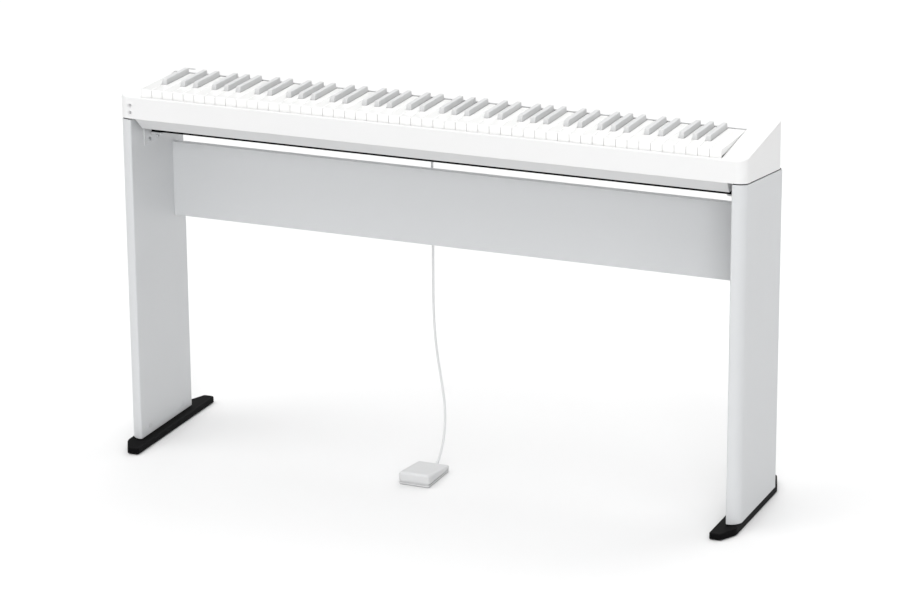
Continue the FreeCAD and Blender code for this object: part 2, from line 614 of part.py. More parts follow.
def keyboard():
    table = key_table()
    sharps = [x for note, octave, x in table if note in SHARP_OFFSET]
    groups = {}
    for note, octave, x in table:
        kind = "sharps" if note in SHARP_OFFSET else "naturals"
        shape = sharp_key(x) if note in SHARP_OFFSET else natural_key(x, sharps)
        if octave == SINGLE_OCTAVE:
            write("key_" + note + str(octave), shape)
            continue
        # the top C has no octave of its own
        group = (kind, min(octave, 7))
        groups.setdefault(group, []).append(shape)
    for (kind, octave), shapes in groups.items():
        write("keys_" + kind + "_" + str(octave), joined(shapes))


# ---------------------------------------------------------------- foot switch and cord

def pedal_plan(z0, z1, inset=0.0):
    """The foot switch's plan, with round front corners, from z0 to z1."""
    x0, x1 = PEDAL_X0 + inset, PEDAL_X1 - inset
    y0, y1 = PEDAL_Y0 + inset, PEDAL_Y1 - inset
    front_r = max(PEDAL_FRONT_R - inset, PEDAL_LEAST_R)
    rear_r = max(PEDAL_REAR_R - inset, PEDAL_LEAST_R)
    return round_uprights(box(x0, x1, y0, y1, z0, z1), [
        (x0, y0, front_r), (x1, y0, front_r), (x0, y1, rear_r), (x1, y1, rear_r),
    ])


def pedal_wedge(drop, skirt_front, skirt_rear):
    """The lid's side outline, its top lowered by drop, with the round nose."""
    nose = V(0, PEDAL_Y0 + drop, PEDAL_FRONT_TOP - drop)
    outline = [
        (nose.y, skirt_front), (PEDAL_Y1 - drop, skirt_rear),
        (PEDAL_Y1 - drop, PEDAL_REAR_TOP - drop), (nose.y, nose.z),
    ]
    wedge = yz_prism(outline, PEDAL_X0 + drop, PEDAL_X1 - drop)
    for edge in wedge.Edges:
        if all(math.hypot(v.Y - nose.y, v.Z - nose.z) < 0.01 for v in edge.Vertexes):
            wedge = wedge.makeFillet(PEDAL_NOSE_R - drop, [edge])
            break
    return wedge.common(pedal_plan(-1.0, PEDAL_FRONT_TOP + 1.0, drop))


def pedal_cap():
    """The lid that the foot presses: hinged at the rear, open below."""
    cap = pedal_wedge(0.0, PEDAL_SKIRT_FRONT, PEDAL_SKIRT_REAR)
    cap = cap.cut(pedal_wedge(PEDAL_WALL, 0.0, 0.0))
    cap = cap.cut(rod(PEDAL_X0, PIN_Y, PIN_Z, PIN_R + PIN_FIT, PEDAL_X1 - PEDAL_X0, V(1, 0, 0)))
    # an open notch where the boot comes out
    return cap.cut(box(
        BOOT_X - NOTCH_HALF, BOOT_X + NOTCH_HALF, PEDAL_Y1 - 2 * PEDAL_WALL, PEDAL_Y1, 0.0, NOTCH_TOP))


def pedal_rim(inset, rear):
    """The upstanding part of the base, as a solid block drawn in by inset."""
    y0, y1 = PEDAL_Y0 + inset, rear
    side = [(y0, PEDAL_PLATE), (y1, PEDAL_PLATE), (y1, PEDAL_RIM_REAR), (y0, PEDAL_RIM_FRONT)]
    block = yz_prism(side, PEDAL_X0, PEDAL_X1)
    return block.common(pedal_plan(PEDAL_PLATE, PEDAL_FRONT_TOP, inset))


def pedal_base():
    inset = PEDAL_WALL + PEDAL_RIM_GAP
    rim_rear = PIN_Y - LUG_FRONT
    rim = pedal_rim(inset, rim_rear)
    tub = pedal_plan(PEDAL_PLATE, PEDAL_FRONT_TOP, inset + PEDAL_RIM_T)
    tub = tub.common(box(PEDAL_X0, PEDAL_X1, PEDAL_Y0, rim_rear - PEDAL_RIM_T, PEDAL_PLATE, PEDAL_FRONT_TOP))
    body = pedal_plan(PEDAL_SOLE, PEDAL_PLATE).fuse(rim.cut(tub))
    for x0 in (PEDAL_X0 + inset, PEDAL_X1 - inset - LUG_W):
        lug = box(x0, x0 + LUG_W, rim_rear, PIN_Y + LUG_REAR, PEDAL_PLATE, PIN_Z)
        lug = lug.fuse(rod(x0, PIN_Y, PIN_Z, LUG_R, LUG_W, V(1, 0, 0)))
        body = body.fuse(lug)
    clamp_x0, clamp_x1 = BOOT_X - CLAMP_HALF, BOOT_X + CLAMP_HALF
    clamp = box(clamp_x0, clamp_x1, rim_rear, PEDAL_Y1 - inset, PEDAL_PLATE, PEDAL_RIM_REAR)
    body = body.fuse(clamp).removeSplitter()
    pin = rod(PEDAL_X0, PIN_Y, PIN_Z, PIN_R, PEDAL_X1 - PEDAL_X0, V(1, 0, 0))
    return body.cut(pin).cut(pedal_boot())


def pedal_boot():
    """Rubber strain relief that points back and up, tapering to the cord."""
    tilt = math.radians(BOOT_TILT)
    along = V(0, math.cos(tilt), math.sin(tilt))
    mouth = V(BOOT_X, PEDAL_Y1, BOOT_Z)
    root = Part.makeCylinder(BOOT_ROOT_R, BOOT_ROOT_L, mouth - along * BOOT_ROOT_L, along)
    cone = Part.makeCone(BOOT_R0, CORD_D / 2.0 + SLEEVE_WALL, BOOT_L, mouth, along)
    return root.fuse(cone).removeSplitter()


def pedal_spring():
    """Compression spring under the front of the lid, as the closed tube that its coil fills."""
    x = (PEDAL_X0 + PEDAL_X1) / 2.0
    tube = rod(x, SPRING_Y, PEDAL_PLATE, SPRING_R, SPRING_L, V(0, 0, 1))
    return tube.cut(rod(x, SPRING_Y, PEDAL_PLATE, SPRING_BORE_R, SPRING_L, V(0, 0, 1)))


def pedal_plug():
    """Right-angle plug: pin in the rear socket, body, and a short relief downwards."""
    x = PEDAL_JACK_X
    body = box(x - PLUG_HALF, x + PLUG_HALF, REAR_Y + PLUG_GAP, REAR_Y + PLUG_OUT, PLUG_Z0, PLUG_Z1)
    uprights = [edge for edge in body.Edges if abs(edge.Vertexes[0].Z - edge.Vertexes[1].Z) > 1.0]
    body = body.makeFillet(PLUG_R, uprights)
    pin = rod(x, REAR_Y - PLUG_PIN_IN, JACK_Z, PLUG_PIN_R, PLUG_PIN_IN + PLUG_OUT / 2.0, V(0, 1, 0))
    start = V(*CORD_ROUTE[0])
    relief = Part.makeCone(CORD_D / 2.0 + SLEEVE_WALL, RELIEF_R, PLUG_Z0 - start.z, start, V(0, 0, 1))
    return body.fuse(pin).fuse(relief).removeSplitter()


def cord_path(points):
    """Straight runs joined by tangent arcs; each arc is as large as its two runs allow."""
    route = [V(*point) for point in points]
    pieces = []
    radii = []
    length = 0.0
    begin = route[0]
    for before, corner, after in zip(route, route[1:], route[2:]):
        towards = (before - corner).normalize()
        away = (after - corner).normalize()
        turn = math.pi - towards.getAngle(away)
        run = min((before - corner).Length, (after - corner).Length)
        cut_back = 0.45 * run
        radius = cut_back / math.tan(turn / 2.0)
        radii.append(radius)
        enter = corner + towards * cut_back
        leave = corner + away * cut_back
        bisector = (towards + away).normalize()
        centre = corner + bisector * (radius / math.cos(turn / 2.0))
        middle = centre - bisector * radius
        pieces.append(Part.LineSegment(begin, enter).toShape())
        pieces.append(Part.Arc(enter, middle, leave).toShape())
        length += (enter - begin).Length + radius * turn
        begin = leave
    pieces.append(Part.LineSegment(begin, route[-1]).toShape())
    length += (route[-1] - begin).Length
    return Part.Wire(pieces), radii, length


def pedal_cord():
    path, radii, length = cord_path(CORD_ROUTE)
    start = V(*CORD_ROUTE[0])
    heading = V(*CORD_ROUTE[1]) - start
    ring = Part.Wire(Part.Circle(start, heading, CORD_D / 2.0).toShape())
    tube = path.makePipeShell([ring], True, False)
    section = math.pi * CORD_D ** 2 / 4.0
    print("cord radii mm:", [round(radius, 1) for radius in radii])
    print("cord length mm:", round(length, 1), "volume ratio:", round(tube.Volume / (section * length), 4))
    return tube


def foot_switch():
    write("pedal_sole", pedal_plan(0.0, PEDAL_SOLE, inset=SOLE_INSET))
    write("pedal_base", pedal_base())
    write("pedal_cap", pedal_cap())
    pin_l = PEDAL_X1 - PEDAL_X0 - 2 * PIN_SHORT
    write("pedal_pin", rod(PEDAL_X0 + PIN_SHORT, PIN_Y, PIN_Z, PIN_R, pin_l, V(1, 0, 0)))
    write("pedal_spring", pedal_spring())
    write("pedal_boot", pedal_boot())
    write("pedal_cord", pedal_cord())
    write("pedal_plug", pedal_plug())


stand()
piano_case()
keyboard()
foot_switch()
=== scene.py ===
import math
import bpy
import numpy as np
from mathutils import Matrix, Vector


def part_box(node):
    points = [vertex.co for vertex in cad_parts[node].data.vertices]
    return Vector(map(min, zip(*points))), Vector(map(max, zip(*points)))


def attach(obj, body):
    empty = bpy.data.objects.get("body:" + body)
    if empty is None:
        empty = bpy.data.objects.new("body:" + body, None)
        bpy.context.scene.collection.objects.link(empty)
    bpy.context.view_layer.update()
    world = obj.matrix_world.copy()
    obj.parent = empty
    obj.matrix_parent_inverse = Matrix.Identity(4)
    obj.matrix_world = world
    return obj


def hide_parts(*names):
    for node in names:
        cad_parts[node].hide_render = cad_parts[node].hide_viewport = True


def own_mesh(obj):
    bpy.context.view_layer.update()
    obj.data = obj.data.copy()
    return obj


# Digital piano on its stand: the looks of every piece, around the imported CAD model.
# Shapes are worked out in millimetres, in the CAD model's own axes, and put into metres when a mesh is made.

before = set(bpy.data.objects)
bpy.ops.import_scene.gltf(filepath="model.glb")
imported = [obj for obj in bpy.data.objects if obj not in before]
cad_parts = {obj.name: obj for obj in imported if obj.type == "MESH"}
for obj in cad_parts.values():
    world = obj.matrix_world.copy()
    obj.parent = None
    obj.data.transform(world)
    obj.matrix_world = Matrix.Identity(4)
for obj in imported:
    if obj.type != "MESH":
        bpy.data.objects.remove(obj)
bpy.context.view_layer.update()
MM = 0.001
CREASE = math.radians(32.0)
STAND = "stand_and_case"
UP, DOWN, REARWARD, FORWARD = (0, 0, 1), (0, 0, -1), (0, 1, 0), (0, -1, 0)
LEFTWARD, RIGHTWARD = (-1, 0, 0), (1, 0, 0)


def placed(name, data):
    """A new object in the scene that holds the data."""
    made = bpy.data.objects.new(name, data)
    bpy.context.scene.collection.objects.link(made)
    return made


# ---- camera

def place_camera():
    """Camera 6.8 m from the stand, to the player's right and above, looking 18 degrees down."""
    place, lens = (2.67413, -6.23426, 2.56383), 142.864
    yaw, pitch, roll = 0.40436, -0.31457, -0.00748
    ahead = np.array([-math.sin(yaw) * math.cos(pitch), math.cos(yaw) * math.cos(pitch), math.sin(pitch)])
    level = np.array([math.cos(yaw), math.sin(yaw), 0.0])
    upright = np.cross(level, ahead)
    across = math.cos(roll) * level + math.sin(roll) * upright
    upwards = math.cos(roll) * upright - math.sin(roll) * level
    data = bpy.data.cameras.new("camera")
    data.sensor_width = 36.0
    data.lens = lens
    data.clip_end = 100.0
    camera = placed("camera", data)
    turn = Matrix((across.tolist(), upwards.tolist(), (-ahead).tolist())).transposed().to_4x4()
    camera.matrix_world = Matrix.Translation(place) @ turn
    bpy.context.scene.camera = camera


place_camera()


# ---- outlines, rings and solids

def rounded_outline(corners, radii, steps=6, guard=0.3):
    """A closed outline, or one for each level, whose corners are circular arcs that touch both sides.
    An arc's centre lies on its corner's bisector, radius over sin(half the angle) from the corner, and its
    points turn evenly from one touching point to the other. One more stands `guard` outside each end."""
    corner = np.asarray(corners, float)
    radius = np.broadcast_to(np.asarray(radii, float), corner.shape[:-1])[..., None]
    back = np.roll(corner, 1, -2) - corner
    fore = np.roll(corner, -1, -2) - corner
    back /= np.linalg.norm(back, axis=-1, keepdims=True)
    fore /= np.linalg.norm(fore, axis=-1, keepdims=True)
    half = np.arccos(np.clip((back * fore).sum(-1, keepdims=True), -1, 1)) / 2
    reach = radius / np.tan(half)
    middle = back + fore
    middle /= np.linalg.norm(middle, axis=-1, keepdims=True)
    centre = corner + middle * radius / np.sin(half)
    first, last = corner + back * reach - centre, corner + fore * reach - centre
    turn = (np.pi - 2 * half)[..., None, :]
    t = np.linspace(0, 1, steps + 1)[:, None]
    swept = np.sin((1 - t) * turn) * first[..., None, :] + np.sin(t * turn) * last[..., None, :]
    arc = swept / np.sin(turn) + centre[..., None, :]
    before = (corner + back * (reach + guard))[..., None, :]
    after = (corner + fore * (reach + guard))[..., None, :]
    ring = np.concatenate([before, arc, after], axis=-2)
    return ring.reshape(corner.shape[:-2] + (-1, 2))


def box_outline(u, v, radii, steps=6, guard=0.3):
    """A rectangle of the ranges u and v with round corners."""
    return rounded_outline([(u[0], v[0]), (u[1], v[0]), (u[1], v[1]), (u[0], v[1])], radii, steps, guard)


def drawn_in(outline, amount):
    """The outline moved inwards, once for each amount: each point moves along the sum of its two sides'
    inward normals over one plus their dot product, which keeps every side parallel to itself."""
    side = np.roll(outline, -1, 0) - outline
    side /= np.linalg.norm(side, axis=1, keepdims=True)
    normal = np.stack([-side[:, 1], side[:, 0]], 1)
    earlier = np.roll(normal, 1, 0)
    mitre = (normal + earlier) / (1 + (normal * earlier).sum(1))[:, None]
    amount = np.asarray(amount, float)
    amount = amount[:, None] if amount.ndim == 1 else amount
    return outline[None] + mitre[None] * amount[..., None]


def rim_levels(low, high, low_r, high_r, steps=4, guard=0.3):
    """How far in and how high each ring of a wall stands: a quarter circle at the bottom rim, a straight wall
    and a quarter circle at the top rim. The third value marks the rings that lie on a rim."""
    a = np.linspace(0, np.pi / 2, steps + 1)
    foot, crown = low_r * (1 - np.sin(a)), high_r * (1 - np.cos(a))
    inset = np.concatenate([[low_r + guard], foot, [0, 0], crown, [high_r + guard]])
    height = np.concatenate([
        [low], low + low_r * (1 - np.cos(a)), [low + low_r + guard, high - high_r - guard],
        high - high_r * (1 - np.sin(a)), [high],
    ])
    rim = np.concatenate([[0], np.ones(steps + 1), [0, 0], np.ones(steps + 1), [0]])
    return inset, height, rim


def from_rings(rings, rim=None, looped=False, finish=0):
    """A closed solid through rings of equal count: four-sided faces join each ring to the next, and either
    the last ring joins the first or a flat face closes each end. Rings that run anticlockwise, seen from
    where they are going, give faces that point outwards."""
    levels, count = rings.shape[:2]
    index = np.arange(levels * count).reshape(levels, count)
    low = index if looped else index[:-1]
    high = np.roll(index, -1, 0) if looped else index[1:]
    quads = np.stack([low, np.roll(low, -1, 1), np.roll(high, -1, 1), high], -1).reshape(-1, 4)
    faces = quads.tolist()
    if not looped:
        faces += [index[0][::-1].tolist(), index[-1].tolist()]
    marks = np.zeros(levels) if rim is None else np.asarray(rim, float)
    return {"points": rings.reshape(-1, 3), "faces": faces, "rim": np.repeat(marks, count), "finish": finish}


def along(axis, outlines, heights):
    """Outlines in the two other axes, in the order yz, zx or xy, stood at their heights along one axis."""
    heights = np.broadcast_to(np.asarray(heights, float)[:, None], outlines.shape[:2])
    parts = [outlines[..., 0], outlines[..., 1], heights]
    order = {"x": (2, 0, 1), "y": (1, 2, 0), "z": (0, 1, 2)}[axis]
    return np.stack([parts[i] for i in order], -1)


def tower(outline, low, high, low_r=0.3, high_r=0.3, axis="z", steps=4, guard=0.3, finish=0, bend=None):
    """An outline carried straight along an axis from low to high, with both rims rounded. A bend then moves
    the points."""
    inset, height, rim = rim_levels(low, high, low_r, high_r, steps, guard)
    rings = along(axis, drawn_in(outline, inset), height)
    return from_rings(rings if bend is None else bend(rings), rim, finish=finish)


def slab(axis, u, v, span, radius=0.5, rim_r=0.3, steps=4, guard=0.15, finish=0, bend=None):
    """A straight bar: a rectangle of the ranges u and v with round corners, carried along an axis."""
    outline = box_outline(u, v, radius, steps, guard)
    return tower(outline, span[0], span[1], rim_r, rim_r, axis, 3, guard, finish, bend)


def turned(profile, centre, direction, steps=32, finish=0):
    """A turned solid. Each row of the profile is (radius, height, form): the radius is constant for form 0,
    follows a hexagon for 6, a cross for 4 and a knurled wave for 24, as a function of the angle round the
    axis."""
    profile = np.asarray(profile, float)
    radius, height, form = profile[:, 0, None], profile[:, 1, None], profile[:, 2, None]
    angle = np.linspace(0, 2 * np.pi, steps, endpoint=False)[None]
    hexagon = np.cos(np.pi / 6) / np.cos(np.mod(angle, np.pi / 3) - np.pi / 6)
    cross = 0.34 + 0.66 * np.abs(np.cos(2 * angle)) ** 3
    wave = 1 + 0.035 * np.cos(24 * angle)
    spread = radius * np.select([form == 6, form == 4, form == 24], [hexagon, cross, wave], 1.0)
    axis = np.asarray(direction, float)
    axis /= np.linalg.norm(axis)
    side = np.cross(axis, [0.0, 0.0, 1.0] if abs(axis[2]) < 0.9 else [1.0, 0.0, 0.0])
    side /= np.linalg.norm(side)
    other = np.cross(axis, side)
    rings = (np.asarray(centre, float) + height[..., None] * axis
             + (spread * np.cos(angle))[..., None] * side + (spread * np.sin(angle))[..., None] * other)
    return from_rings(rings, finish=finish)


def drill(radius, depth, place, way, steps=28):
    """The shape of a round hole: a cylinder from its mouth at place, along way."""
    return turned([[radius, 0, 0], [radius, depth, 0]], place, way, steps)


def upside_down(profile, height):
    """A turned profile with its heights counted from the other end."""
    return [[radius, height - h, form] for radius, h, form in profile]


def helix_wire(centre, coil_r, wire_r, length, turns, per_turn=24, steps=8):
    """A coil spring's wire: its centre line climbs evenly while it turns, and each ring lies across it,
    spanned by the outward radius and by that radius crossed with the wire's direction."""
    t = np.linspace(0, turns, int(turns * per_turn) + 1)
    angle = 2 * np.pi * t
    outward = np.stack([np.cos(angle), np.sin(angle), np.zeros_like(angle)], 1)
    rise = (length - 2 * wire_r) / turns
    line = outward * coil_r + np.stack([0 * t, 0 * t, wire_r + rise * t], 1) + np.asarray(centre, float)
    way = np.stack([-np.sin(angle) * 2 * np.pi * coil_r, np.cos(angle) * 2 * np.pi * coil_r, rise + 0 * t], 1)
    way /= np.linalg.norm(way, axis=1, keepdims=True)
    across = np.cross(way, outward)
    phi = np.linspace(0, 2 * np.pi, steps, endpoint=False)
    rings = (line[:, None] + wire_r * (np.cos(phi)[None, :, None] * outward[:, None]
                                       + np.sin(phi)[None, :, None] * across[:, None]))
    return from_rings(rings)


def mirrored(shape):
    """The same shape on the other side of the middle, its faces turned round so that they point outwards."""
    return {**shape, "points": shape["points"] * [-1, 1, 1], "faces": [face[::-1] for face in shape["faces"]]}


def both_sides(shapes):
    """The right side's shapes and their mirror images."""
    return shapes + [mirrored(shape) for shape in shapes]


def mesh_of(name, shapes):
    """One mesh of several closed shapes, with its rims marked for the finishes, and creases kept sharp."""
    start = np.cumsum([0] + [len(shape["points"]) for shape in shapes])
    points = np.concatenate([shape["points"] for shape in shapes]) * MM
    faces = [(np.asarray(face) + first).tolist()
             for shape, first in zip(shapes, start) for face in shape["faces"]]
    mesh = bpy.data.meshes.new(name)
    mesh.from_pydata(points.tolist(), [], faces)
    rim = mesh.attributes.new("rim", "FLOAT", "POINT")
    rim.data.foreach_set("value", np.concatenate([shape["rim"] for shape in shapes]).astype(np.float32))
    number = np.concatenate([np.full(len(shape["faces"]), shape["finish"]) for shape in shapes])
    mesh.polygons.foreach_set("material_index", number.astype(np.int32))
    mesh.shade_smooth()
    mesh.set_sharp_from_angle(angle=CREASE)
    mesh.update()
    return mesh


def piece(name, shapes, finishes, node, body=STAND, holes=()):
    """One named piece: its shapes, its finishes in order, the CAD node that it stands for and the
    body that it rides. The holes are closed shapes cut out of it."""
    mesh = mesh_of(name, shapes)
    made = placed(name, mesh)
    for look in finishes:
        mesh.materials.append(look)
    if holes:
        cutter = placed(name + "_cutter", mesh_of(name + "_cutter", holes))
        cut = made.modifiers.new("cut", "BOOLEAN")
        cut.object = cutter
        cut.operation = "DIFFERENCE"
        cut.solver = "EXACT"
        seen = bpy.context.evaluated_depsgraph_get()
        made.data = bpy.data.meshes.new_from_object(made.evaluated_get(seen))
        made.modifiers.clear()
        bpy.data.objects.remove(cutter)
        made.data.set_sharp_from_angle(angle=CREASE)
    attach(made, body)
    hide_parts(node)
    return made


def pair(name, shapes, finishes, node, holes=()):
    """A piece of the right side, and its mirror image as the left side's own piece."""
    piece("right_" + name, shapes, finishes, node + "_right", holes=holes)
    piece("left_" + name, [mirrored(shape) for shape in shapes], finishes, node + "_left",
          holes=[mirrored(hole) for hole in holes])


def box_mm(node):
    """The two far corners of a CAD node's box, in millimetres."""
    low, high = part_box(node)
    return np.array(low) / MM, np.array(high) / MM


# ---- finishes

def add(tree, kind, **settings):
    """A new shader node with its settings."""
    made = tree.nodes.new(kind)
    for key, value in settings.items():
        setattr(made, key, value)
    return made


def wire(source, socket):
    """Joins an output socket to an input socket."""
    source.id_data.links.new(source, socket)


def dial(node, values):
    """Sets a node's sockets, by their labels."""
    for label, value in values.items():
        node.inputs[label].default_value = value


def new_group(name, inputs, outputs):
    """An empty shader node group with named sockets; returns its tree and its two ends."""
    tree = bpy.data.node_groups.new(name, "ShaderNodeTree")
    for label, kind, value in inputs:
        socket = tree.interface.new_socket(name=label, in_out="INPUT", socket_type=kind)
        socket.default_value = value
    for label, kind in outputs:
        tree.interface.new_socket(name=label, in_out="OUTPUT", socket_type=kind)
    return tree, add(tree, "NodeGroupInput"), add(tree, "NodeGroupOutput")


NUMBER, COLOUR, ARROW = "NodeSocketFloat", "NodeSocketColor", "NodeSocketVector"


def maths(tree, operation, first, second, clamp=False):
    """first (operation) second, where each is a socket or a number."""
    made = add(tree, "ShaderNodeMath", operation=operation, use_clamp=clamp)
    for socket, value in zip(made.inputs, (first, second)):
        if isinstance(value, (int, float)):
            socket.default_value = value
        else:
            wire(value, socket)
    return made.outputs[0]


def tinted(tree, amount, first, second, blend="MIX"):
    """A blend of two colours, each a socket or a colour."""
    made = add(tree, "ShaderNodeMix", data_type="RGBA", blend_type=blend)
    sockets = [made.inputs["Factor"], made.inputs[6], made.inputs[7]]
    for socket, value in zip(sockets, (amount, first, second)):
        if isinstance(value, bpy.types.NodeSocket):
            wire(value, socket)
        else:
            socket.default_value = value
    return made.outputs[2]


def moulded_grain():
    """Fine grain: a third of twice a quick noise plus the distance to the nearest cell of another, both
    stretched along the Stretch vector."""
    tree, start, end = new_group(
        "moulded_grain",
        [("Size", NUMBER, 900.0), ("Stretch", ARROW, (1.0, 1.0, 1.0))],
        [("Height", NUMBER)],
    )
    place = add(tree, "ShaderNodeTexCoord")
    stretch = add(tree, "ShaderNodeVectorMath", operation="MULTIPLY")
    wire(place.outputs["Object"], stretch.inputs[0])
    wire(start.outputs["Stretch"], stretch.inputs[1])
    noise = add(tree, "ShaderNodeTexNoise")
    dial(noise, {"Detail": 3.0})
    cells = add(tree, "ShaderNodeTexVoronoi", feature="SMOOTH_F1")
    for texture in (noise, cells):
        wire(stretch.outputs[0], texture.inputs["Vector"])
        wire(start.outputs["Size"], texture.inputs["Scale"])
    doubled = maths(tree, "MULTIPLY", noise.outputs[0], 2.0)
    total = maths(tree, "ADD", doubled, cells.outputs["Distance"])
    wire(maths(tree, "MULTIPLY", total, 0.333), end.inputs["Height"])
    return tree


def handling_and_rim_highlight():
    """Colour and roughness that drift slowly over a surface, as dust and handling leave them, a painted
    highlight that lightens the colour on rims, and the polish that lowers their roughness: tone is one plus
    drift times the slow noise, plus the painted rim highlight times the rim mark broken up by quick noise."""
    tree, start, end = new_group(
        "handling_and_rim_highlight",
        [("Colour", COLOUR, (0.8, 0.8, 0.8, 1.0)), ("Roughness", NUMBER, 0.5), ("Drift", NUMBER, 0.03),
         ("Painted Rim Highlight", NUMBER, 0.06), ("Patch Size", NUMBER, 7.0)],
        [("Colour", COLOUR), ("Roughness", NUMBER)],
    )
    place = add(tree, "ShaderNodeTexCoord")
    slow = add(tree, "ShaderNodeTexNoise")
    quick = add(tree, "ShaderNodeTexNoise")
    for texture in (slow, quick):
        wire(place.outputs["Object"], texture.inputs["Vector"])
    wire(start.outputs["Patch Size"], slow.inputs["Scale"])
    dial(slow, {"Detail": 4.0})
    dial(quick, {"Scale": 160.0})
    mark = add(tree, "ShaderNodeAttribute", attribute_name="rim")
    swing = maths(tree, "MULTIPLY", maths(tree, "SUBTRACT", slow.outputs[0], 0.5), start.outputs["Drift"])
    broken = maths(tree, "MULTIPLY", mark.outputs["Fac"], quick.outputs[0])
    # painted highlight: the rim mark, broken up by quick noise, lightens the colour on rounded rims
    painted_rim_highlight = maths(tree, "MULTIPLY", broken, start.outputs["Painted Rim Highlight"])
    tone = maths(tree, "ADD", maths(tree, "ADD", 1.0, maths(tree, "MULTIPLY", swing, 2.0)), painted_rim_highlight)
    grey = add(tree, "ShaderNodeCombineColor")
    for socket in grey.inputs:
        wire(tone, socket)
    shade = tinted(tree, 1.0, start.outputs["Colour"], grey.outputs[0], "MULTIPLY")
    wire(shade, end.inputs["Colour"])
    rough = maths(tree, "ADD", start.outputs["Roughness"], maths(tree, "MULTIPLY", swing, 3.0))
    rough = maths(tree, "SUBTRACT", rough, maths(tree, "MULTIPLY", broken, 0.12), clamp=True)
    wire(rough, end.inputs["Roughness"])
    return tree


GRAIN, TONE = moulded_grain(), handling_and_rim_highlight()


def finish(name, colour, roughness, grain=900.0, depth=0.02, stretch=(1, 1, 1), drift=0.02, rim=0.06,
           metallic=0.0, coat=0.0, specular=0.5, sheen=0.0, patch=7.0, pattern=None):
    """A finish: a base colour and roughness that drift, with a painted highlight that brightens the colour at
    rims, under a fine grain in relief.
    A pattern is a function that adds its own nodes and returns a colour and a height to go with the grain."""
    made = bpy.data.materials.new(name)
    made.use_nodes = True
    tree = made.node_tree
    shader = tree.nodes["Principled BSDF"]
    tone = add(tree, "ShaderNodeGroup", node_tree=TONE)
    # rim sets how strongly the colour is painted lighter on rounded rims, as a highlight
    dial(tone, {"Colour": (*colour, 1.0), "Roughness": roughness, "Drift": drift, "Painted Rim Highlight": rim,
                "Patch Size": patch})
    relief = add(tree, "ShaderNodeGroup", node_tree=GRAIN)
    dial(relief, {"Size": grain, "Stretch": stretch})
    height = relief.outputs["Height"]
    if pattern:
        shade, extra = pattern(tree)
        wire(shade, tone.inputs["Colour"])
        height = maths(tree, "ADD", height, extra)
    bump = add(tree, "ShaderNodeBump")
    dial(bump, {"Strength": 1.0, "Distance": depth * MM})
    wire(height, bump.inputs["Height"])
    wire(bump.outputs["Normal"], shader.inputs["Normal"])
    wire(tone.outputs["Colour"], shader.inputs["Base Color"])
    wire(tone.outputs["Roughness"], shader.inputs["Roughness"])
    dial(shader, {"Metallic": metallic, "Coat Weight": coat, "Coat Roughness": 0.15,
                  "Specular IOR Level": specular})
    if sheen:
        dial(shader, {"Sheen Weight": sheen, "Sheen Roughness": 0.6})
    return made


def object_texture(tree, kind, scale, stretch=(1, 1, 1), **settings):
    """A texture over the piece's own coordinates, stretched by a mapping."""
    place = add(tree, "ShaderNodeTexCoord")
    mapping = add(tree, "ShaderNodeMapping")
    dial(mapping, {"Scale": stretch})
    texture = add(tree, kind, **settings)
    wire(place.outputs["Object"], mapping.inputs["Vector"])
    wire(mapping.outputs["Vector"], texture.inputs["Vector"])
    dial(texture, {"Scale": scale})
    return texture


def board_flakes(tree):
    """Silver-white film: small pale flakes scattered in cells over a base that is slightly darker."""
    cells = object_texture(tree, "ShaderNodeTexVoronoi", 1400.0)
    flake = maths(tree, "LESS_THAN", cells.outputs["Distance"], 0.22)
    shade = tinted(tree, maths(tree, "MULTIPLY", flake, 0.5), SILVER + (1,), SILVER_FLAKE + (1,))
    return shade, maths(tree, "MULTIPLY", flake, 0.2)


def felt_fibres(tree):
    """Felt: long thin noise fibres in two directions, lighter where both stand high."""
    one = object_texture(tree, "ShaderNodeTexNoise", 900.0, (0.15, 1, 1))
    two = object_texture(tree, "ShaderNodeTexNoise", 900.0, (1, 1, 0.2))
    pile = maths(tree, "MULTIPLY", one.outputs[0], two.outputs[0])
    shade = tinted(tree, maths(tree, "MULTIPLY", pile, 2.2), FELT_LOW + (1,), FELT_HIGH + (1,))
    return shade, maths(tree, "MULTIPLY", pile, 2.0)


def board_tracks(tree):
    """Circuit board: tracks where a brick pattern's joints run, under green lacquer, with round pads."""
    bricks = object_texture(tree, "ShaderNodeTexBrick", 90.0, (1, 1, 1))
    dial(bricks, {"Mortar Size": 0.05, "Color1": (0.01, 0.09, 0.03, 1), "Color2": (0.012, 0.10, 0.035, 1),
                  "Mortar": (0.03, 0.2, 0.07, 1)})
    dots = object_texture(tree, "ShaderNodeTexVoronoi", 110.0)
    pad = maths(tree, "LESS_THAN", dots.outputs["Distance"], 0.16)
    shade = tinted(tree, pad, bricks.outputs["Color"], (0.6, 0.45, 0.2, 1))
    return shade, maths(tree, "ADD", pad, bricks.outputs["Fac"])


def cone_rings(tree):
    """Speaker: a dark cone with fine waves running along its length."""
    waves = object_texture(tree, "ShaderNodeTexWave", 60.0, (0.35, 1, 1), wave_type="RINGS")
    shade = tinted(tree, waves.outputs["Fac"], (0.012, 0.012, 0.013, 1), (0.03, 0.03, 0.032, 1))
    return shade, waves.outputs["Fac"]


SILVER, SILVER_FLAKE = (0.558, 0.568, 0.578), (0.652, 0.662, 0.672)
FELT_LOW, FELT_HIGH = (0.16, 0.16, 0.165), (0.34, 0.34, 0.35)

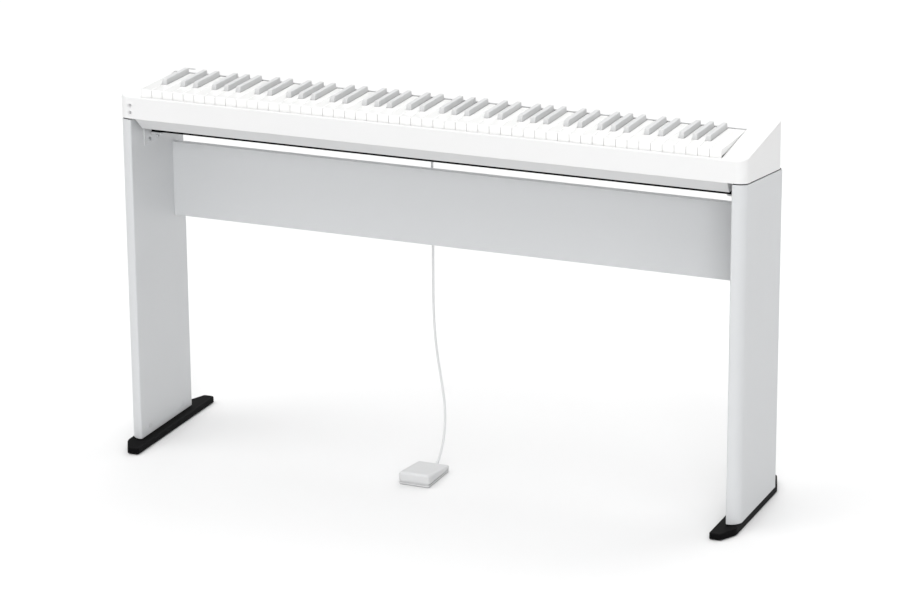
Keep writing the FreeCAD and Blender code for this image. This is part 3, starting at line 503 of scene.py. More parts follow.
white_moulding = finish("white_moulding", (0.705, 0.705, 0.705), 0.42, grain=1300, depth=0.012, drift=0.008,
                        rim=0.02)
tray_moulding = finish("tray_moulding", (0.57, 0.574, 0.578), 0.55, grain=1100, drift=0.015, rim=0.03)
white_key = finish("white_key", (0.80, 0.80, 0.793), 0.22, grain=2200, depth=0.004, drift=0.006, rim=0.01,
                   coat=0.25)
grey_key = finish("grey_key", (0.54, 0.543, 0.546), 0.5, grain=1600, rim=0.05)
silver_board = finish("silver_board", SILVER, 0.46, grain=600, depth=0.012, stretch=(1, 1, 0.12), drift=0.01,
                      rim=0.05, patch=3.0, pattern=board_flakes)
# the high rim values of the black finishes paint strong highlights on their rounded edges
black_foot = finish("black_foot", (0.0030, 0.0030, 0.0032), 0.55, grain=1500, depth=0.05, drift=0.05, rim=0.9,
                    specular=0.04)
black_steel = finish("black_steel", (0.0028, 0.0028, 0.0030), 0.5, grain=1100, depth=0.03, drift=0.05,
                     rim=0.7, specular=0.04)
grey_steel = finish("grey_steel", (0.55, 0.56, 0.57), 0.42, depth=0.03, drift=0.03, rim=0.25)
zinc = finish("zinc", (0.56, 0.57, 0.58), 0.3, depth=0.01, stretch=(1, 1, 0.1), drift=0.05, rim=0.15,
              metallic=1.0)
dark_rubber = finish("dark_rubber", (0.022, 0.022, 0.023), 0.82, grain=700, depth=0.06, drift=0.08, rim=0.3,
                     specular=0.3)
grey_rubber = finish("grey_rubber", (0.40, 0.403, 0.406), 0.8, grain=700, depth=0.06, drift=0.04, rim=0.1,
                     specular=0.3)
dark_moulding = finish("dark_moulding", (0.03, 0.03, 0.032), 0.6, depth=0.03, drift=0.05)
socket_black = finish("socket_black", (0.018, 0.018, 0.019), 0.45, grain=1800, depth=0.01, drift=0.04)
bush_grey = finish("bush_grey", (0.68, 0.68, 0.685), 0.45, grain=1800, depth=0.01)
sleeve_grey = finish("sleeve_grey", (0.80, 0.80, 0.805), 0.5, grain=1800, depth=0.01)
button_grey = finish("button_grey", (0.42, 0.42, 0.425), 0.5, grain=2000, depth=0.012, drift=0.03, rim=0.2)
felt = finish("felt", FELT_LOW, 0.95, grain=2400, depth=0.15, drift=0.06, rim=0.0, sheen=0.5, specular=0.2,
              pattern=felt_fibres)
circuit_board = finish("circuit_board", (0.01, 0.09, 0.03), 0.35, grain=2500, pattern=board_tracks)
speaker_black = finish("speaker_black", (0.02, 0.02, 0.02), 0.7, grain=1500, depth=0.3, pattern=cone_rings)
pedal_grey = finish("pedal_grey", (0.56, 0.563, 0.567), 0.55, grain=1200, depth=0.04, rim=0.04)
cord_grey = finish("cord_grey", (0.62, 0.625, 0.63), 0.5, grain=1500, drift=0.03)
plated_pin = finish("plated_pin", (0.70, 0.70, 0.71), 0.2, grain=2500, depth=0.003, drift=0.03, metallic=1.0)


# ---- cord of the foot switch

CORD_ROUTE = np.array([
    (-78.0, 113.0, 706.0), (-78.8, 113.6, 660.0), (-80.0, 115.4, 604.0), (-80.4, 116.0, 546.0),
    (-79.3, 114.0, 488.0), (-77.2, 109.6, 430.0), (-74.4, 102.6, 372.0), (-70.0, 92.6, 316.0),
    (-62.6, 80.0, 262.0), (-50.4, 65.5, 211.0), (-35.2, 51.0, 163.0), (-22.6, 37.4, 120.0),
    (-17.6, 25.6, 82.0), (-16.8, 15.4, 53.4), (-17.6, 6.7, 34.2), (-18.0, -2.6, 21.6), (-18.0, -12.17, 14.28),
])
CORD_D = 5.0
REAR_SOCKETS_Z = 731.0


def hang_cord():
    """The sheathed cord: a smooth curve whose control points are the route, swept by a circle."""
    curve = bpy.data.curves.new("foot_switch_cord", "CURVE")
    curve.dimensions = "3D"
    line = curve.splines.new("NURBS")
    line.points.add(len(CORD_ROUTE) - 1)
    rows = np.column_stack([CORD_ROUTE * MM, np.ones(len(CORD_ROUTE))])
    line.points.foreach_set("co", rows.ravel())
    line.order_u = 3
    line.use_endpoint_u = True
    line.resolution_u = 12
    curve.bevel_depth = CORD_D / 2 * MM
    curve.bevel_resolution = 5
    curve.use_fill_caps = True
    curve.materials.append(cord_grey)
    cord = placed("foot_switch_cord", curve)
    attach(cord, STAND)
    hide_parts("pedal_cord")
    return cord


def ringed(start, end, start_r, end_r, rings, groove=0.35):
    """A tapering sleeve with grooves: the radius runs evenly from start_r to end_r, less the groove times the
    cube of half of one less the cosine of its place along the sleeve."""
    t = np.linspace(0, 1, rings * 8 + 1)
    dip = groove * (0.5 - 0.5 * np.cos(2 * np.pi * rings * t)) ** 3
    radius = start_r + (end_r - start_r) * t - dip
    return np.column_stack([radius, start + (end - start) * t, 0 * t])


def make_plug():
    """Right-angle plug: a moulded body with three grip ribs, a plated pin and a ringed sleeve."""
    low, high = box_mm("pedal_plug")
    x, rear = (low[0] + high[0]) / 2, high[1]
    body = slab("z", (x - 6, x + 6), (rear - 15.4, rear), (718.0, 738.0), radius=3.0, rim_r=1.6, steps=6)
    ribs = [slab("z", (x - 6.25, x + 6.25), (rear - 12 + k * 3.2, rear - 10.6 + k * 3.2), (720.5, 735.5))
            for k in range(3)]
    sleeve_line = np.vstack([[[2.2, 706.0, 0]], ringed(706.0, 718.6, 3.1, 4.6, 4)])
    sleeve = turned(sleeve_line, (x, rear - 6.0, 0), UP, 28)
    pin = turned([[2.4, 0, 0], [3.1, 1.4, 0], [3.15, 8, 0], [2.9, 8.4, 0], [2.9, 9.2, 0], [3.15, 9.6, 0],
                  [3.15, 30, 0]], (x, low[1], REAR_SOCKETS_Z), REARWARD, 24, finish=1)
    return piece("foot_switch_plug", [body, *ribs, sleeve, pin], [cord_grey, plated_pin],
                 "pedal_plug")


def make_boot():
    """Rubber boot of the foot switch: a ringed sleeve that points back and up by 35 degrees."""
    tilt = math.radians(35.0)
    way = (0, math.cos(tilt), math.sin(tilt))
    root = [[1.6, -5, 0], [2.2, -4.8, 0], [2.2, -0.3, 0], [3.4, 0.0, 0]]
    sleeve = np.vstack([root, ringed(0.4, 11.6, 3.4, 3.1, 4), [[2.9, 12.0, 0], [2.3, 12.0, 0]]])
    return piece("foot_switch_boot", [turned(sleeve, (-18.0, -22.0, 7.4), way, 28)], [cord_grey],
                 "pedal_boot")


cord = hang_cord()
plug = make_plug()
boot = make_boot()


# ---- stand

FRONT_Y, REAR_Y = -125.0, 103.0
SEAT_FRONT_Z, SEAT_FALL, DECK_FRONT_Z, DECK_RISE = 700.0, 27.0, 745.0, 28.0
FOOT_SCREW_X, FOOT_SCREWS_Y = 647.5, (-84.0, 62.0)
BRACKET_BOLTS_Y, BRACKET_BOLTS_Z = (-50.0, -16.0), 638.0
RAIL_FRONT, RAIL_REAR, RAIL_UNDER = -40.0, -26.0, 652.0
THUMB_BOLT_X, THUMB_BOLT_Y = 601.0, -33.0


def seat_z(y):
    """The seat under the piano's ends, which falls evenly from front to rear."""
    return SEAT_FRONT_Z - SEAT_FALL * (y - FRONT_Y) / (REAR_Y - FRONT_Y)


def deck_z(y):
    """The top of the case, which rises evenly from front to rear."""
    return DECK_FRONT_Z + DECK_RISE * (y - FRONT_Y) / (REAR_Y - FRONT_Y)


def make_side_panels():
    """Board with a large round front outer corner; its top rim is lowered to follow the slope of the seat."""
    low, high = box_mm("side_panel_right")
    outline = box_outline((low[0], high[0]), (low[1], high[1]), (3.5, 23.0, 2.0, 2.0), 12, 0.2)
    top = high[2]

    def follow_seat(rings):
        fall = top - (seat_z(rings[..., 1]) - 2.5)
        return rings - np.stack([0 * fall, 0 * fall, fall * (rings[..., 2] > 300.0)], -1)

    board = tower(outline, low[2], top, 0.3, 0.8, bend=follow_seat)
    pair("side_panel", [board], [silver_board], "side_panel")


def make_feet():
    """Long foot whose outer edge draws in towards both tips, where its top also falls by 2 mm."""
    low, high = box_mm("foot_right")
    half, tip_x = high[1], 641.0
    corners = [(low[0], -half), (tip_x, -half), (high[0], -137.0), (high[0], 115.0), (tip_x, half),
               (low[0], half)]
    outline = rounded_outline(corners, (6, 8, 30, 30, 8, 6), steps=8)

    def fall_to_tips(rings):
        beyond = np.maximum(FRONT_Y - rings[..., 1], rings[..., 1] - REAR_Y)
        reach = np.where(rings[..., 1] < 0, half + FRONT_Y, half - REAR_Y)
        fall = 2.0 * np.clip(beyond, 0, None) / reach
        return rings - np.stack([0 * fall, 0 * fall, fall * (rings[..., 2] > 8.0)], -1)

    foot = tower(outline, low[2], high[2], 0.8, 2.6, steps=6, bend=fall_to_tips)
    holes = [drill(4.5, 2.3, (FOOT_SCREW_X, y, 1.0), UP) for y in FOOT_SCREWS_Y]
    pair("foot", [foot], [black_foot], "foot", holes)


def make_rubbers():
    """Two ridged pads under each foot and the dark rubber strip on each panel's sloping top, whose dark
    colour also stands in for the shade in the gap under the case.
    """
    pads = []
    for y0 in (-167.0, 123.0):
        pads.append(slab("z", (619.0, 639.0), (y0, y0 + 44.0), (0.5, 1.5), radius=2.0))
        pads += [slab("z", (621.0 + 3.4 * k, 622.6 + 3.4 * k), (y0 + 2, y0 + 42.0), (0.0, 0.7))
                 for k in range(5)]
    outline = box_outline((636.0, 659.0), (-123.0, 101.0), (0.6, 21.0, 0.6, 0.6), 10, 0.2)

    def lie_on_seat(rings):
        return rings + np.stack([0 * rings[..., 0], 0 * rings[..., 0], seat_z(rings[..., 1])], -1)

    # dark strip filling the gap between panel top and case: partly a real rubber strip, partly painted shade
    # for that gap
    strip = tower(outline, -2.5, 0.0, bend=lie_on_seat)
    piece("rubber_pads_and_strips", both_sides(pads + [strip]), [dark_rubber], "rubber_pads")


def make_back_panel():
    """A plain board between the side panels, its edges just broken."""
    low, high = box_mm("back_panel")
    board = slab("y", (low[2], high[2]), (low[0], high[0]), (low[1], high[1]), radius=0.8, rim_r=0.6)
    piece("back_board", [board], [silver_board], "back_panel")


def make_rail():
    """Square tube with a thin shoe under each end."""
    low, high = box_mm("cross_rail")
    bar = slab("x", (RAIL_FRONT, RAIL_REAR), (RAIL_UNDER, high[2]), (low[0], high[0]), radius=1.6, steps=5)
    shoe = slab("z", (608.0, high[0]), (RAIL_FRONT - 4.0, RAIL_REAR + 4.0), (low[2], RAIL_UNDER + 0.05),
                radius=3.0, rim_r=0.5, finish=1)
    piece("front_rail", [bar, shoe, mirrored(shoe)], [black_steel, grey_steel], "cross_rail")


def make_brackets():
    """Steel plate with round corners and two countersunk rings round its bolts."""
    low, high = box_mm("bracket_plate_right")
    plate = slab("x", (low[1], high[1]), (low[2], high[2]), (low[0], high[0]), radius=3.0, rim_r=0.4, steps=5)
    rings = [turned([[6.4, 0, 0], [6.4, 0.25, 0], [6.1, 0.5, 0], [5.2, 0.5, 0], [5.0, 0.3, 0]],
                    (low[0] + 0.02, y, BRACKET_BOLTS_Z), LEFTWARD, 32) for y in BRACKET_BOLTS_Y]
    pair("bracket", [plate, *rings], [grey_steel], "bracket_plate")


def make_fasteners():
    """Domed bolts with hexagonal sockets, knurled thumb bolts, and cams and screws with crossed recesses."""
    dome = [[4.5, 0, 0], [4.5, 1.2, 0], [4.2, 2.0, 0], [3.4, 2.7, 0], [2.7, 3.0, 0], [2.1, 3.0, 0],
            [2.1, 2.9, 6], [2.1, 1.2, 6], [0.4, 0.9, 0]]
    bolts = [turned(dome, (632.0, y, BRACKET_BOLTS_Z), LEFTWARD, 36) for y in BRACKET_BOLTS_Y]
    piece("bracket_bolt_heads", both_sides(bolts), [zinc], "bracket_bolts")
    knob = [[2.5, 3.9, 0], [4.6, 4.0, 0], [5.3, 3.6, 24], [5.35, 3.2, 24], [5.35, 0.6, 24], [5.2, 0.2, 24],
            [4.6, 0, 0], [1.9, 0, 0], [1.9, 0.1, 6], [1.9, 1.6, 6], [0.4, 1.8, 0]]
    thumb = turned(upside_down(knob, 4.0), (THUMB_BOLT_X, THUMB_BOLT_Y, RAIL_UNDER), DOWN, 96)
    shank = turned([[2.5, 0, 0], [2.5, 27.0, 0], [1.6, 28.0, 0]],
                   (THUMB_BOLT_X, THUMB_BOLT_Y, RAIL_UNDER + 1.0), UP, 20)
    piece("thumb_bolts", both_sides([thumb, shank]), [grey_steel], "knob_bolts")
    cam = [[7.5, -6, 0], [7.5, 0.2, 0], [7.2, 0.4, 0], [4.4, 0.4, 0], [4.4, 0.38, 4], [4.2, -1.6, 4],
           [0.5, -2.0, 0]]
    cams = [turned(cam, (x, 67.0, z), REARWARD, 48) for x in (-599.0, 599.0) for z in (475.0, 582.0)]
    piece("back_board_cams", cams, [zinc], "back_panel_cams")
    small = [[6, -6, 0], [6, 0.2, 0], [5.75, 0.4, 0], [3.4, 0.4, 0], [3.4, 0.38, 4], [3.2, -1.4, 4],
             [0.4, -1.8, 0]]
    caps = [turned(small, (634.0, y, 33.0), LEFTWARD, 48) for y in FOOT_SCREWS_Y]
    piece("foot_cam_caps", both_sides(caps), [zinc], "foot_cams")
    head = [[2.4, 2.6, 0], [4.2, 2.6, 0], [4.4, 0.4, 0], [4.1, 0, 0], [2.7, 0, 0], [2.7, 0.05, 4],
            [2.4, 1.4, 4], [0.3, 1.8, 0]]
    screws = [turned(upside_down(head, 2.6), (FOOT_SCREW_X, y, 6.1), DOWN, 40) for y in FOOT_SCREWS_Y]
    piece("foot_screw_heads", both_sides(screws), [zinc], "foot_screws")


make_side_panels()
make_feet()
make_rubbers()
make_back_panel()
make_rail()
make_brackets()
make_fasteners()


# ---- piano case

WELL_X, WELL_FRONT, WELL_REAR = 611.6, -119.5, 32.5
SLOPE = math.atan2(DECK_RISE, REAR_Y - FRONT_Y)
BUTTON_PLACE = (-584.0, 48.0)
PHONES_X, PHONES_Z = -634.5, (712.0, 727.0)
REAR_SOCKETS = ((-78.0, 3.25), (-130.0, 2.85))
TRAY_TOP_X, TRAY_FLOOR_X, TRAY_FLOOR_Z = 625.0, 621.0, 674.0


def lying_on_deck(x, y):
    """A bend that lays points made round the origin on the sloping deck at x, y."""
    c, s = math.cos(SLOPE), math.sin(SLOPE)
    turn = np.array([[1, 0, 0], [0, c, -s], [0, s, c]])
    return lambda points: points @ turn.T + [x, y, deck_z(y)]


def oblong(length, width, guard=0.1):
    """A bar's outline with half-round ends."""
    x, y = length / 2, width / 2
    return box_outline((-x, x), (-y, y), y - guard, 8, guard * 0.5)


def make_upper_case():
    """The case as one closed loop of rings round the keys: up the outer wall, over the top rim, across the
    deck, over the well's rim, down the well, out under the deck, down the inside and back under."""
    low, high = box_mm("upper_case")
    outer = box_outline((-high[0], high[0]), (low[1], high[1]), (23, 23, 18, 18), 12)
    well = box_outline((-WELL_X, WELL_X), (WELL_FRONT, WELL_REAR), (1.5, 1.5, 3, 3), 12)
    hall_x, hall_y = WELL_X + 0.4, (WELL_FRONT - 0.4, REAR_Y - 3.0)
    inside = box_outline((-hall_x, hall_x), hall_y, (1.5, 1.5, 15, 15), 12)
    a = np.linspace(0, np.pi / 2, 6)
    top_r, rim_r, foot_r = 2.5, 1.0, 0.4
    wall_in = np.concatenate([foot_r * (1 - np.sin(a)), [0, 0], top_r * (1 - np.cos(a)), [top_r + 0.4]])
    wall_up = np.concatenate([foot_r * (1 - np.cos(a)), [0.8, -top_r - 0.4], -top_r * (1 - np.sin(a)), [0]])
    from_seat = np.concatenate([np.ones(7), np.zeros(8)])[:, None]
    wall = drawn_in(outer, wall_in)
    wall_z = wall_up[:, None] + np.where(from_seat > 0, seat_z(wall[..., 1]), deck_z(wall[..., 1]))
    lip = drawn_in(well, -np.concatenate([[rim_r + 0.4], rim_r * (1 - np.sin(a)), [0, 0]]))
    lip_up = -np.concatenate([[0], rim_r * (1 - np.cos(a)), [rim_r + 0.4, 3.0]])
    lip_z = lip_up[:, None] + deck_z(lip[..., 1])
    hall = drawn_in(inside, [0, 0, -foot_r])
    hall_z = np.stack([deck_z(hall[0, :, 1]) - 3.4, seat_z(hall[1, :, 1]) + foot_r, seat_z(hall[2, :, 1])])
    outlines, heights = np.concatenate([wall, lip, hall]), np.concatenate([wall_z, lip_z, hall_z])
    rim = np.concatenate([0 * wall_in[:8], np.ones(6), [0, 0], np.ones(6), [0, 0], [0, 0, 0]])
    shell = from_rings(np.concatenate([outlines, heights[..., None]], -1), rim, looped=True)
    holes = [tower(oblong(21.8, 5.2), -8.0, 5.0, 0.05, 0.05, bend=lying_on_deck(*BUTTON_PLACE))]
    holes += [drill(5.0, 20, (PHONES_X, -130.0, z), REARWARD, 40) for z in PHONES_Z]
    holes += [drill(bore_r + 2.0, 20, (x, 93.0, REAR_SOCKETS_Z), REARWARD, 40) for x, bore_r in REAR_SOCKETS]
    piece("upper_case_shell", [shell], [white_moulding], "upper_case", holes=holes)


def make_tray():
    """The wedge between the side panels: a level floor, a front that leans forwards as it rises, and ends
    that lean out. The side outline is carried from end to end and its length grows with height."""
    front, rear = -123.0, 88.0
    corners = [(-98.0, TRAY_FLOOR_Z), (rear, TRAY_FLOOR_Z), (rear, seat_z(rear)), (front, seat_z(front))]
    outline = rounded_outline(corners, (1.6, 0.25, 0.2, 0.6), 5, guard=0.05)

    def lean_out(rings):
        rise = (rings[..., 2] - TRAY_FLOOR_Z) / (SEAT_FRONT_Z - TRAY_FLOOR_Z)
        share = (TRAY_FLOOR_X + (TRAY_TOP_X - TRAY_FLOOR_X) * rise) / TRAY_TOP_X
        return np.stack([rings[..., 0] * share, rings[..., 1], rings[..., 2]], -1)

    tray = tower(outline, -TRAY_TOP_X, TRAY_TOP_X, 0.2, 0.2, "x", 3, 0.1, bend=lean_out)
    places = [(x, y) for x in (-560.0, -190.0, 190.0, 560.0) for y in (-84.0, 30.0)]
    holes = [drill(3.5, 3.0, (x, y, TRAY_FLOOR_Z - 2.0), UP) for x, y in places]
    piece("tray", [tray], [tray_moulding], "lower_case", holes=holes)
    head = [[1.4, 1.4, 0], [3.2, 1.4, 0], [3.4, 1.0, 0], [2.9, 0.3, 0], [2.0, 0, 0], [2.0, 0.02, 4],
            [1.7, 0.8, 4], [0.2, 1.1, 0]]
    screws = [turned(upside_down(head, 1.4), (x, y, TRAY_FLOOR_Z + 2.0), DOWN, 40) for x, y in places]
    piece("tray_screws", screws, [zinc], "case_screws")


def make_sockets():
    """Sockets as turned rings: a bush with a chamfered mouth, and a sleeve with a sprung contact ring."""

    def socket(x, mouth_y, z, way, bush_r, bore_r):
        bush = [[bore_r + 0.5, 0.2, 0], [bore_r + 0.7, 0, 0], [bush_r - 0.4, 0, 0], [bush_r - 0.1, 0.3, 0],
                [bush_r - 0.1, 9, 0], [bore_r + 0.5, 9, 0]]
        sleeve = [[bore_r, 29, 0], [bore_r, 10, 0], [bore_r - 0.3, 9.5, 0], [bore_r, 9, 0], [bore_r, 0.7, 0],
                  [bore_r + 0.6, 0.5, 0], [bore_r + 0.6, 30, 0], [0.5, 30, 0], [0.5, 29, 0]]
        made = []
        for number, profile in enumerate((bush, sleeve)):
            rings = turned(profile, (x, mouth_y, z), way, 32)["points"].reshape(len(profile), 32, 3)
            made.append(from_rings(rings, looped=True, finish=number))
        return made

    phones = sum([socket(PHONES_X, -124.8, z, REARWARD, 5.0, 3.25) for z in PHONES_Z], [])
    piece("headphone_socket_pair", phones, [bush_grey, sleeve_grey], "headphone_sockets")
    rear = sum([socket(x, 103.4, REAR_SOCKETS_Z, FORWARD, r + 2.0, r) for x, r in REAR_SOCKETS], [])
    piece("rear_socket_pair", rear, [dark_moulding, socket_black], "rear_sockets")


def make_button():
    """An oblong cap that stands out of the deck, with a wider flange under it."""
    lay = lying_on_deck(*BUTTON_PLACE)
    cap = tower(oblong(21.0, 4.4), -4.0, 0.8, 0.2, 0.5, bend=lay)
    flange = tower(oblong(25.0, 8.4), -4.6, -3.4, 0.2, 0.2, bend=lay)
    piece("power_button_cap", [cap, flange], [button_grey], "power_button",
          body="power_button")


def make_felts():
    """Felt strips whose top edge wavers by up to 0.2 mm: a sum of two slow sine waves."""

    def strip(y, z):
        outline = box_outline(y, z, 0.4, 4, 0.05)
        x = np.linspace(-609.0, 609.0, 220)
        waver = 0.12 * np.sin(x / 17.0) + 0.08 * np.sin(x / 6.1 + 1.0)
        rings = along("x", np.repeat(outline[None], len(x), 0), x)
        share = (rings[..., 2] - z[0]) / (z[1] - z[0])
        rings[..., 2] += share * waver[:, None]
        return from_rings(rings)

    for node in ("rear_felt", "front_felt"):
        low, high = box_mm(node)
        made = piece(node + "_strip", [strip((low[1], high[1]), (low[2], high[2]))], [felt],
                     node)


make_upper_case()
make_tray()
make_sockets()
make_button()
make_felts()


# ---- keys

PITCH, GAP, NATURALS = 23.5, 0.6, 52
KEY_FRONT, KEY_REAR, SHARP_FRONT = -118.5, 30.0, -70.0
KEY_TOP, KEY_UNDER, SHARP_TOP = 762.0, 748.0, 773.0
NOTES = ("A", "As", "B", "C", "Cs", "D", "Ds", "E", "F", "Fs", "G", "Gs")
SHARP_OFFSET = {"Cs": -2.3, "Ds": 2.3, "Fs": -3.2, "Gs": 0.0, "As": 3.2}
PIVOT_Y, PIVOT_Z, GROOVE_R, TAIL_UNDER = 58.0, 739.5, 3.3, 740.0


def tail(x, width):
    """The hidden rear end of a key: its side outline has a round groove that fits over the pivot rail."""
    start = math.asin((TAIL_UNDER - PIVOT_Z) / GROOVE_R)
    a = np.linspace(np.pi - start, start, 8)
    groove = np.column_stack([PIVOT_Y + GROOVE_R * np.cos(a), PIVOT_Z + GROOVE_R * np.sin(a)])
    front, rear, top = 18.0, 64.0, KEY_UNDER + 0.2
    outline = np.vstack([[[front, TAIL_UNDER]], groove, [[rear, TAIL_UNDER], [rear, top], [front, top]]])
    rings = along("x", np.repeat(outline[None], 2, 0), [x - width / 2, x + width / 2])
    return from_rings(rings)


def natural(x, sharps):
    """A natural: its plan is notched beside each sharp that it borders, its top rim is round, and a lip hangs
    down at the front."""
    x0, x1 = x - (PITCH - GAP) / 2, x + (PITCH - GAP) / 2
    left = max([x0] + [s + 6.5 for s in sharps if x - PITCH < s < x])
    right = min([x1] + [s - 6.5 for s in sharps if x < s < x + PITCH])
    notch = SHARP_FRONT - 1.5
    plan = [(x0, KEY_FRONT, 0.9), (x1, KEY_FRONT, 0.9)]
    if right < x1:
        plan += [(x1, notch, 1.2), (right, notch, 0.6)]
    plan += [(right, KEY_REAR, 1.2), (left, KEY_REAR, 1.2)]
    if left > x0:
        plan += [(left, notch, 0.6), (x0, notch, 1.2)]
    outline = rounded_outline([row[:2] for row in plan], [row[2] for row in plan], 4, 0.2)
    top = tower(outline, KEY_UNDER, KEY_TOP, 0.3, 0.8, steps=4, guard=0.2)
    lip = slab("z", (x0 + 0.05, x1 - 0.05), (KEY_FRONT + 0.05, KEY_FRONT + 5.5),
               (KEY_UNDER - 6.0, KEY_UNDER + 1.0), 0.9, 0.5)
    return [top, lip, tail((left + right) / 2, min(right - left, 9.0))]


def sharp(x):
    """A sharp: rings of round-cornered rectangles whose sides lean in and whose front leans back above the
    naturals, ending in a quarter round all the way round the top."""
    a = np.linspace(0, np.pi / 2, 5)
    round_r = 1.7
    wall_z = [KEY_UNDER, KEY_UNDER + 0.3, KEY_TOP, KEY_TOP + 4.0]
    z = np.concatenate([wall_z, SHARP_TOP - round_r * (1 - np.sin(a)), [SHARP_TOP]])
    shrink = np.concatenate([[0.3, 0, 0, 0], round_r * (1 - np.cos(a)), [round_r + 0.3]])
    lean = np.clip((z - KEY_TOP) / (SHARP_TOP - KEY_TOP), 0, 1)
    half = 5.5 - 0.8 * lean - shrink
    front = SHARP_FRONT + 4.0 * lean ** 1.3 + shrink
    rear = KEY_REAR - shrink
    corners = np.stack([np.stack([x + side * half, end], -1)
                        for side, end in ((-1, front), (1, front), (1, rear), (-1, rear))], 1)
    rings = along("z", rounded_outline(corners, (1.6, 1.6, 0.6, 0.6), 4, 0.2), z)
    rim = np.concatenate([np.zeros(4), np.ones(5), [0]])
    return [from_rings(rings, rim), tail(x, 8.0)]


def make_keys():
    """The 88 keys from A to C, each shape put with the CAD node that it belongs to."""
    row, count = [], 0
    for number in range(88):
        note, octave = NOTES[number % 12], (number + 9) // 12
        edge = (count - NATURALS / 2) * PITCH
        if note in SHARP_OFFSET:
            row.append((note, octave, edge + SHARP_OFFSET[note]))
        else:
            row.append((note, octave, edge + PITCH / 2))
            count += 1
    sharps = [x for note, octave, x in row if note in SHARP_OFFSET]
    groups = {}
    for note, octave, x in row:
        kind = "sharps" if note in SHARP_OFFSET else "naturals"
        node = "key_%s%d" % (note, octave) if octave == 4 else "keys_%s_%d" % (kind, min(octave, 7))
        shapes = sharp(x) if kind == "sharps" else natural(x, sharps)
        groups.setdefault((node, kind), []).extend(shapes)
    for (node, kind), shapes in groups.items():
        look, slot = (grey_key, "grey_sharp") if kind == "sharps" else (white_key, "white_key")
        piece(node + "_top", shapes, [look], node, body=node)


make_keys()


# ---- foot switch

PEDAL_X, PEDAL_Y = (-56.0, 11.0), (-125.0, -22.0)
PIN_Y, PIN_Z = -30.0, 8.6


def pedal_outline(inset):
    """The foot switch's plan, drawn in by the inset, with rounder corners at the nose."""
    x, y = (PEDAL_X[0] + inset, PEDAL_X[1] - inset), (PEDAL_Y[0] + inset, PEDAL_Y[1] - inset)
    return box_outline(x, y, [max(r - inset, 0.4) for r in (6.0, 6.0, 2.5, 2.5)], 8, 0.2)


def falling(start, fall, y):
    """A height that falls evenly from the foot switch's nose to its rear."""
    return start - fall * (y - PEDAL_Y[0]) / (PEDAL_Y[1] - PEDAL_Y[0])


def lid_top(y):
    """The lid's sloping top."""
    return falling(27.0, 13.0, y)


def make_pedal():
    """The lid is a thin shell of rings: from the middle of its ceiling out and down the inner wall, round the
    skirt, up the outer wall and over a top rim whose radius grows from 2.4 mm at the sides to 7 mm at the
    nose. The base has a low wall all round, two lugs for the pin and a clamp for the boot."""
    outline = pedal_outline(0.0)
    share = np.clip((-108.0 - outline[:, 1]) / 14.0, 0, 1)
    radius = 2.4 + 4.6 * share * share * (3 - 2 * share)
    a = np.linspace(0, np.pi / 2, 9)
    inner = drawn_in(outline, [4.8, 1.8, 1.8])
    skirt = drawn_in(outline, [1.4, 0.4, 0.0])
    outer_in = np.concatenate([(1 - np.cos(a))[:, None] * radius, radius[None] + 0.3])
    outer = drawn_in(outline, outer_in)
    skirt_z = falling(8.2, 2.6, outline[:, 1])
    inner_z = np.stack([lid_top(inner[0, :, 1]) - 1.9, lid_top(inner[1, :, 1]) - 5.5, skirt_z + 0.5])
    rise_z = np.stack([skirt_z, skirt_z, skirt_z + 0.4])
    drop = np.concatenate([(1 - np.sin(a))[:, None] * radius, 0 * radius[None]])
    outer_z = lid_top(outer[..., 1]) - drop
    rings = np.concatenate([inner, skirt, outer])
    heights = np.concatenate([inner_z, rise_z, outer_z])
    rim = np.concatenate([np.zeros(5), [1], np.ones(9), [0]])
    lid = from_rings(np.concatenate([rings, heights[..., None]], -1), rim)
    notch = slab("y", (0.0, 12.6), (-23.0, -13.0), (-27.0, -20.0), radius=1.0, rim_r=0.1)
    pin_hole = drill(1.65, 70, (-57.5, PIN_Y, PIN_Z), RIGHTWARD, 24)
    piece("foot_switch_lid", [lid], [pedal_grey], "pedal_cap",
          body="pedal_cap", holes=[notch, pin_hole])
    plate = tower(outline, 2.0, 4.5, 0.4, 0.5)
    left, right, nose, rear, foot_z = -53.6, 8.6, -122.6, -33.2, 4.3
    wall = drawn_in(box_outline((left, right), (nose, rear), (3.6, 3.6, 0.5, 0.5)), [0, 0.2, 0.4, 2.0, 2.0])
    wall_z = 15.5 - 5.5 * (wall[..., 1] - nose) / (rear - nose)
    wall_z[1] -= 0.4
    wall_z[[0, 4]] = foot_z
    rim_wall = from_rings(np.concatenate([wall, wall_z[..., None]], -1), looped=True)
    lugs = [slab("x", (-33.4, -27.4), (foot_z, 11.0), (x0, x0 + 5.0), 2.4) for x0 in (left, right - 5.0)]
    clamp = slab("z", (-22.0, -14.0), (-33.4, -24.4), (foot_z, 10.0), 1.0, 0.5)
    piece("foot_switch_base", [plate, rim_wall, clamp, *lugs], [pedal_grey], "pedal_base",
          holes=[pin_hole])
    sole = tower(pedal_outline(1.0), 0.0, 2.05, 0.4, 0.2)
    piece("foot_switch_sole", [sole], [grey_rubber], "pedal_sole")
    pin_line = [[1.3, 0, 0], [1.55, 0.3, 0], [1.55, 65.9, 0], [1.3, 66.2, 0]]
    pin = turned(pin_line, (-55.6, PIN_Y, PIN_Z), RIGHTWARD, 24)
    piece("foot_switch_pin", [pin], [plated_pin], "pedal_pin")
    spring = piece("foot_switch_spring", [helix_wire((-22.5, -95.0, 4.5), 4.4, 0.55, 16.2, 6.5)], [zinc],
                   "pedal_spring")
    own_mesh(spring)


make_pedal()


# ---- hidden boards, frame and drivers

for node, look in (("key_chassis", dark_moulding), ("contact_board", circuit_board),
                   ("main_board", circuit_board), ("speakers", speaker_black)):
    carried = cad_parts[node]
    carried.data.materials.clear()
    carried.data.materials.append(look)


# ---- floor and light

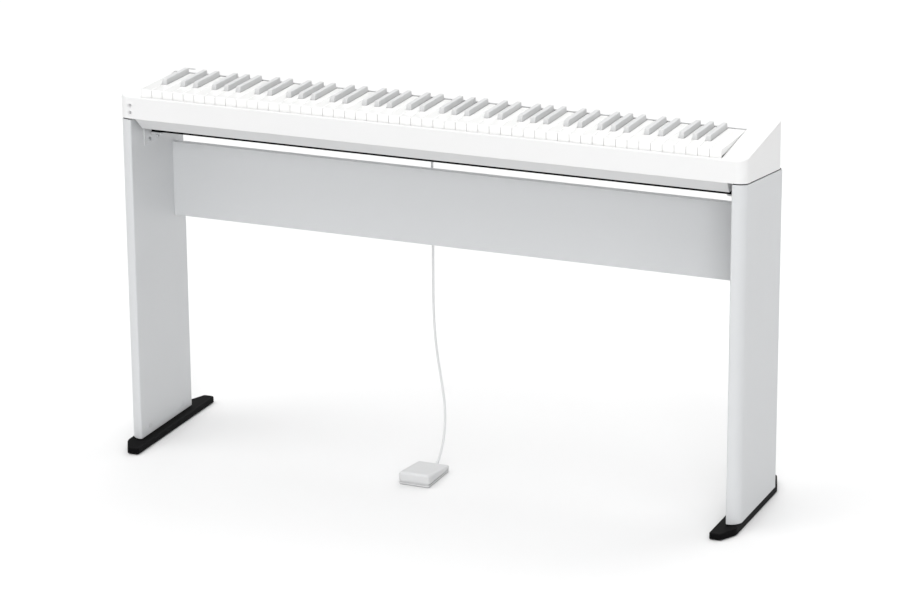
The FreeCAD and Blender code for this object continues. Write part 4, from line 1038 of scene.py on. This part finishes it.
def lay_floor():
    """A very large pale floor, a four-cornered sheet just under the feet."""
    half, z = 60.0, -0.0003
    mesh = bpy.data.meshes.new("studio_floor")
    corners = [(-half, -half, z), (half, -half, z), (half, half, z), (-half, half, z)]
    mesh.from_pydata(corners, [], [(0, 1, 2, 3)])
    look = bpy.data.materials.new("pale_floor")
    look.use_nodes = True
    dial(look.node_tree.nodes["Principled BSDF"],
         {"Base Color": (0.745, 0.745, 0.745, 1), "Roughness": 0.9, "Specular IOR Level": 0.2})
    mesh.materials.append(look)
    placed("studio_floor", mesh)


ROOM_LIGHT, OVERHEAD, FRONT_LIGHT, LEFT_LIGHT, REAR_LIGHT, RIGHT_WATTS = 0.3, 2.2, 1.36, 0.43, 1.2, 1.9


def towards(place, target):
    """The turn that points a lamp's own downward axis from its place to its target."""
    ahead = np.asarray(target, float) - place
    ahead /= np.linalg.norm(ahead)
    level = np.cross(ahead, [0, 0, 1.0])
    level /= np.linalg.norm(level)
    return Matrix((level.tolist(), np.cross(level, ahead).tolist(), (-ahead).tolist())).transposed().to_4x4()


def hang_far_lamp(name, way, spread, strength):
    """A far soft lamp whose light comes from the direction `way`, over `spread` degrees."""
    data = bpy.data.lights.new(name, "SUN")
    data.angle = math.radians(spread)
    data.energy = strength
    placed(name, data).matrix_world = towards(np.asarray(way, float), (0, 0, 0))


def stand_near_lamp(name, place, target, size, watts):
    """A square soft lamp on a stand, turned towards its target."""
    data = bpy.data.lights.new(name, "AREA")
    data.shape = "SQUARE"
    data.size = size
    data.energy = watts
    placed(name, data).matrix_world = Matrix.Translation(place) @ towards(np.asarray(place, float), target)


def light_studio():
    """A pale room: soft light from overhead, from the front, a little from the left and from behind, and one
    near lamp at the right whose light falls off towards the floor. The room shows white and lights gently."""
    world = bpy.data.worlds.new("pale_room")
    world.use_nodes = True
    tree = world.node_tree
    background = tree.nodes["Background"]
    dial(background, {"Color": (1.0, 1.0, 1.0, 1.0)})
    sight = add(tree, "ShaderNodeLightPath")
    strength = maths(tree, "MULTIPLY_ADD", sight.outputs["Is Camera Ray"], 0.7)
    strength.node.inputs[2].default_value = ROOM_LIGHT
    wire(strength, background.inputs["Strength"])
    bpy.context.scene.world = world
    hang_far_lamp("light_overhead", (-0.12, -0.15, 1.0), 80, OVERHEAD)
    hang_far_lamp("light_front", (0.43, -1.0, 0.35), 25, FRONT_LIGHT)
    hang_far_lamp("light_left", (-1.0, -0.5, 0.8), 50, LEFT_LIGHT)
    hang_far_lamp("light_behind", (0.1, 1.0, 0.9), 60, REAR_LIGHT)
    stand_near_lamp("lamp_right", (1.7, -0.9, 1.35), (0.6, 0, 0.5), 0.5, RIGHT_WATTS)


lay_floor()
light_studio()
bpy.context.scene.view_settings.view_transform = "Standard"

bpy.context.view_layer.update()
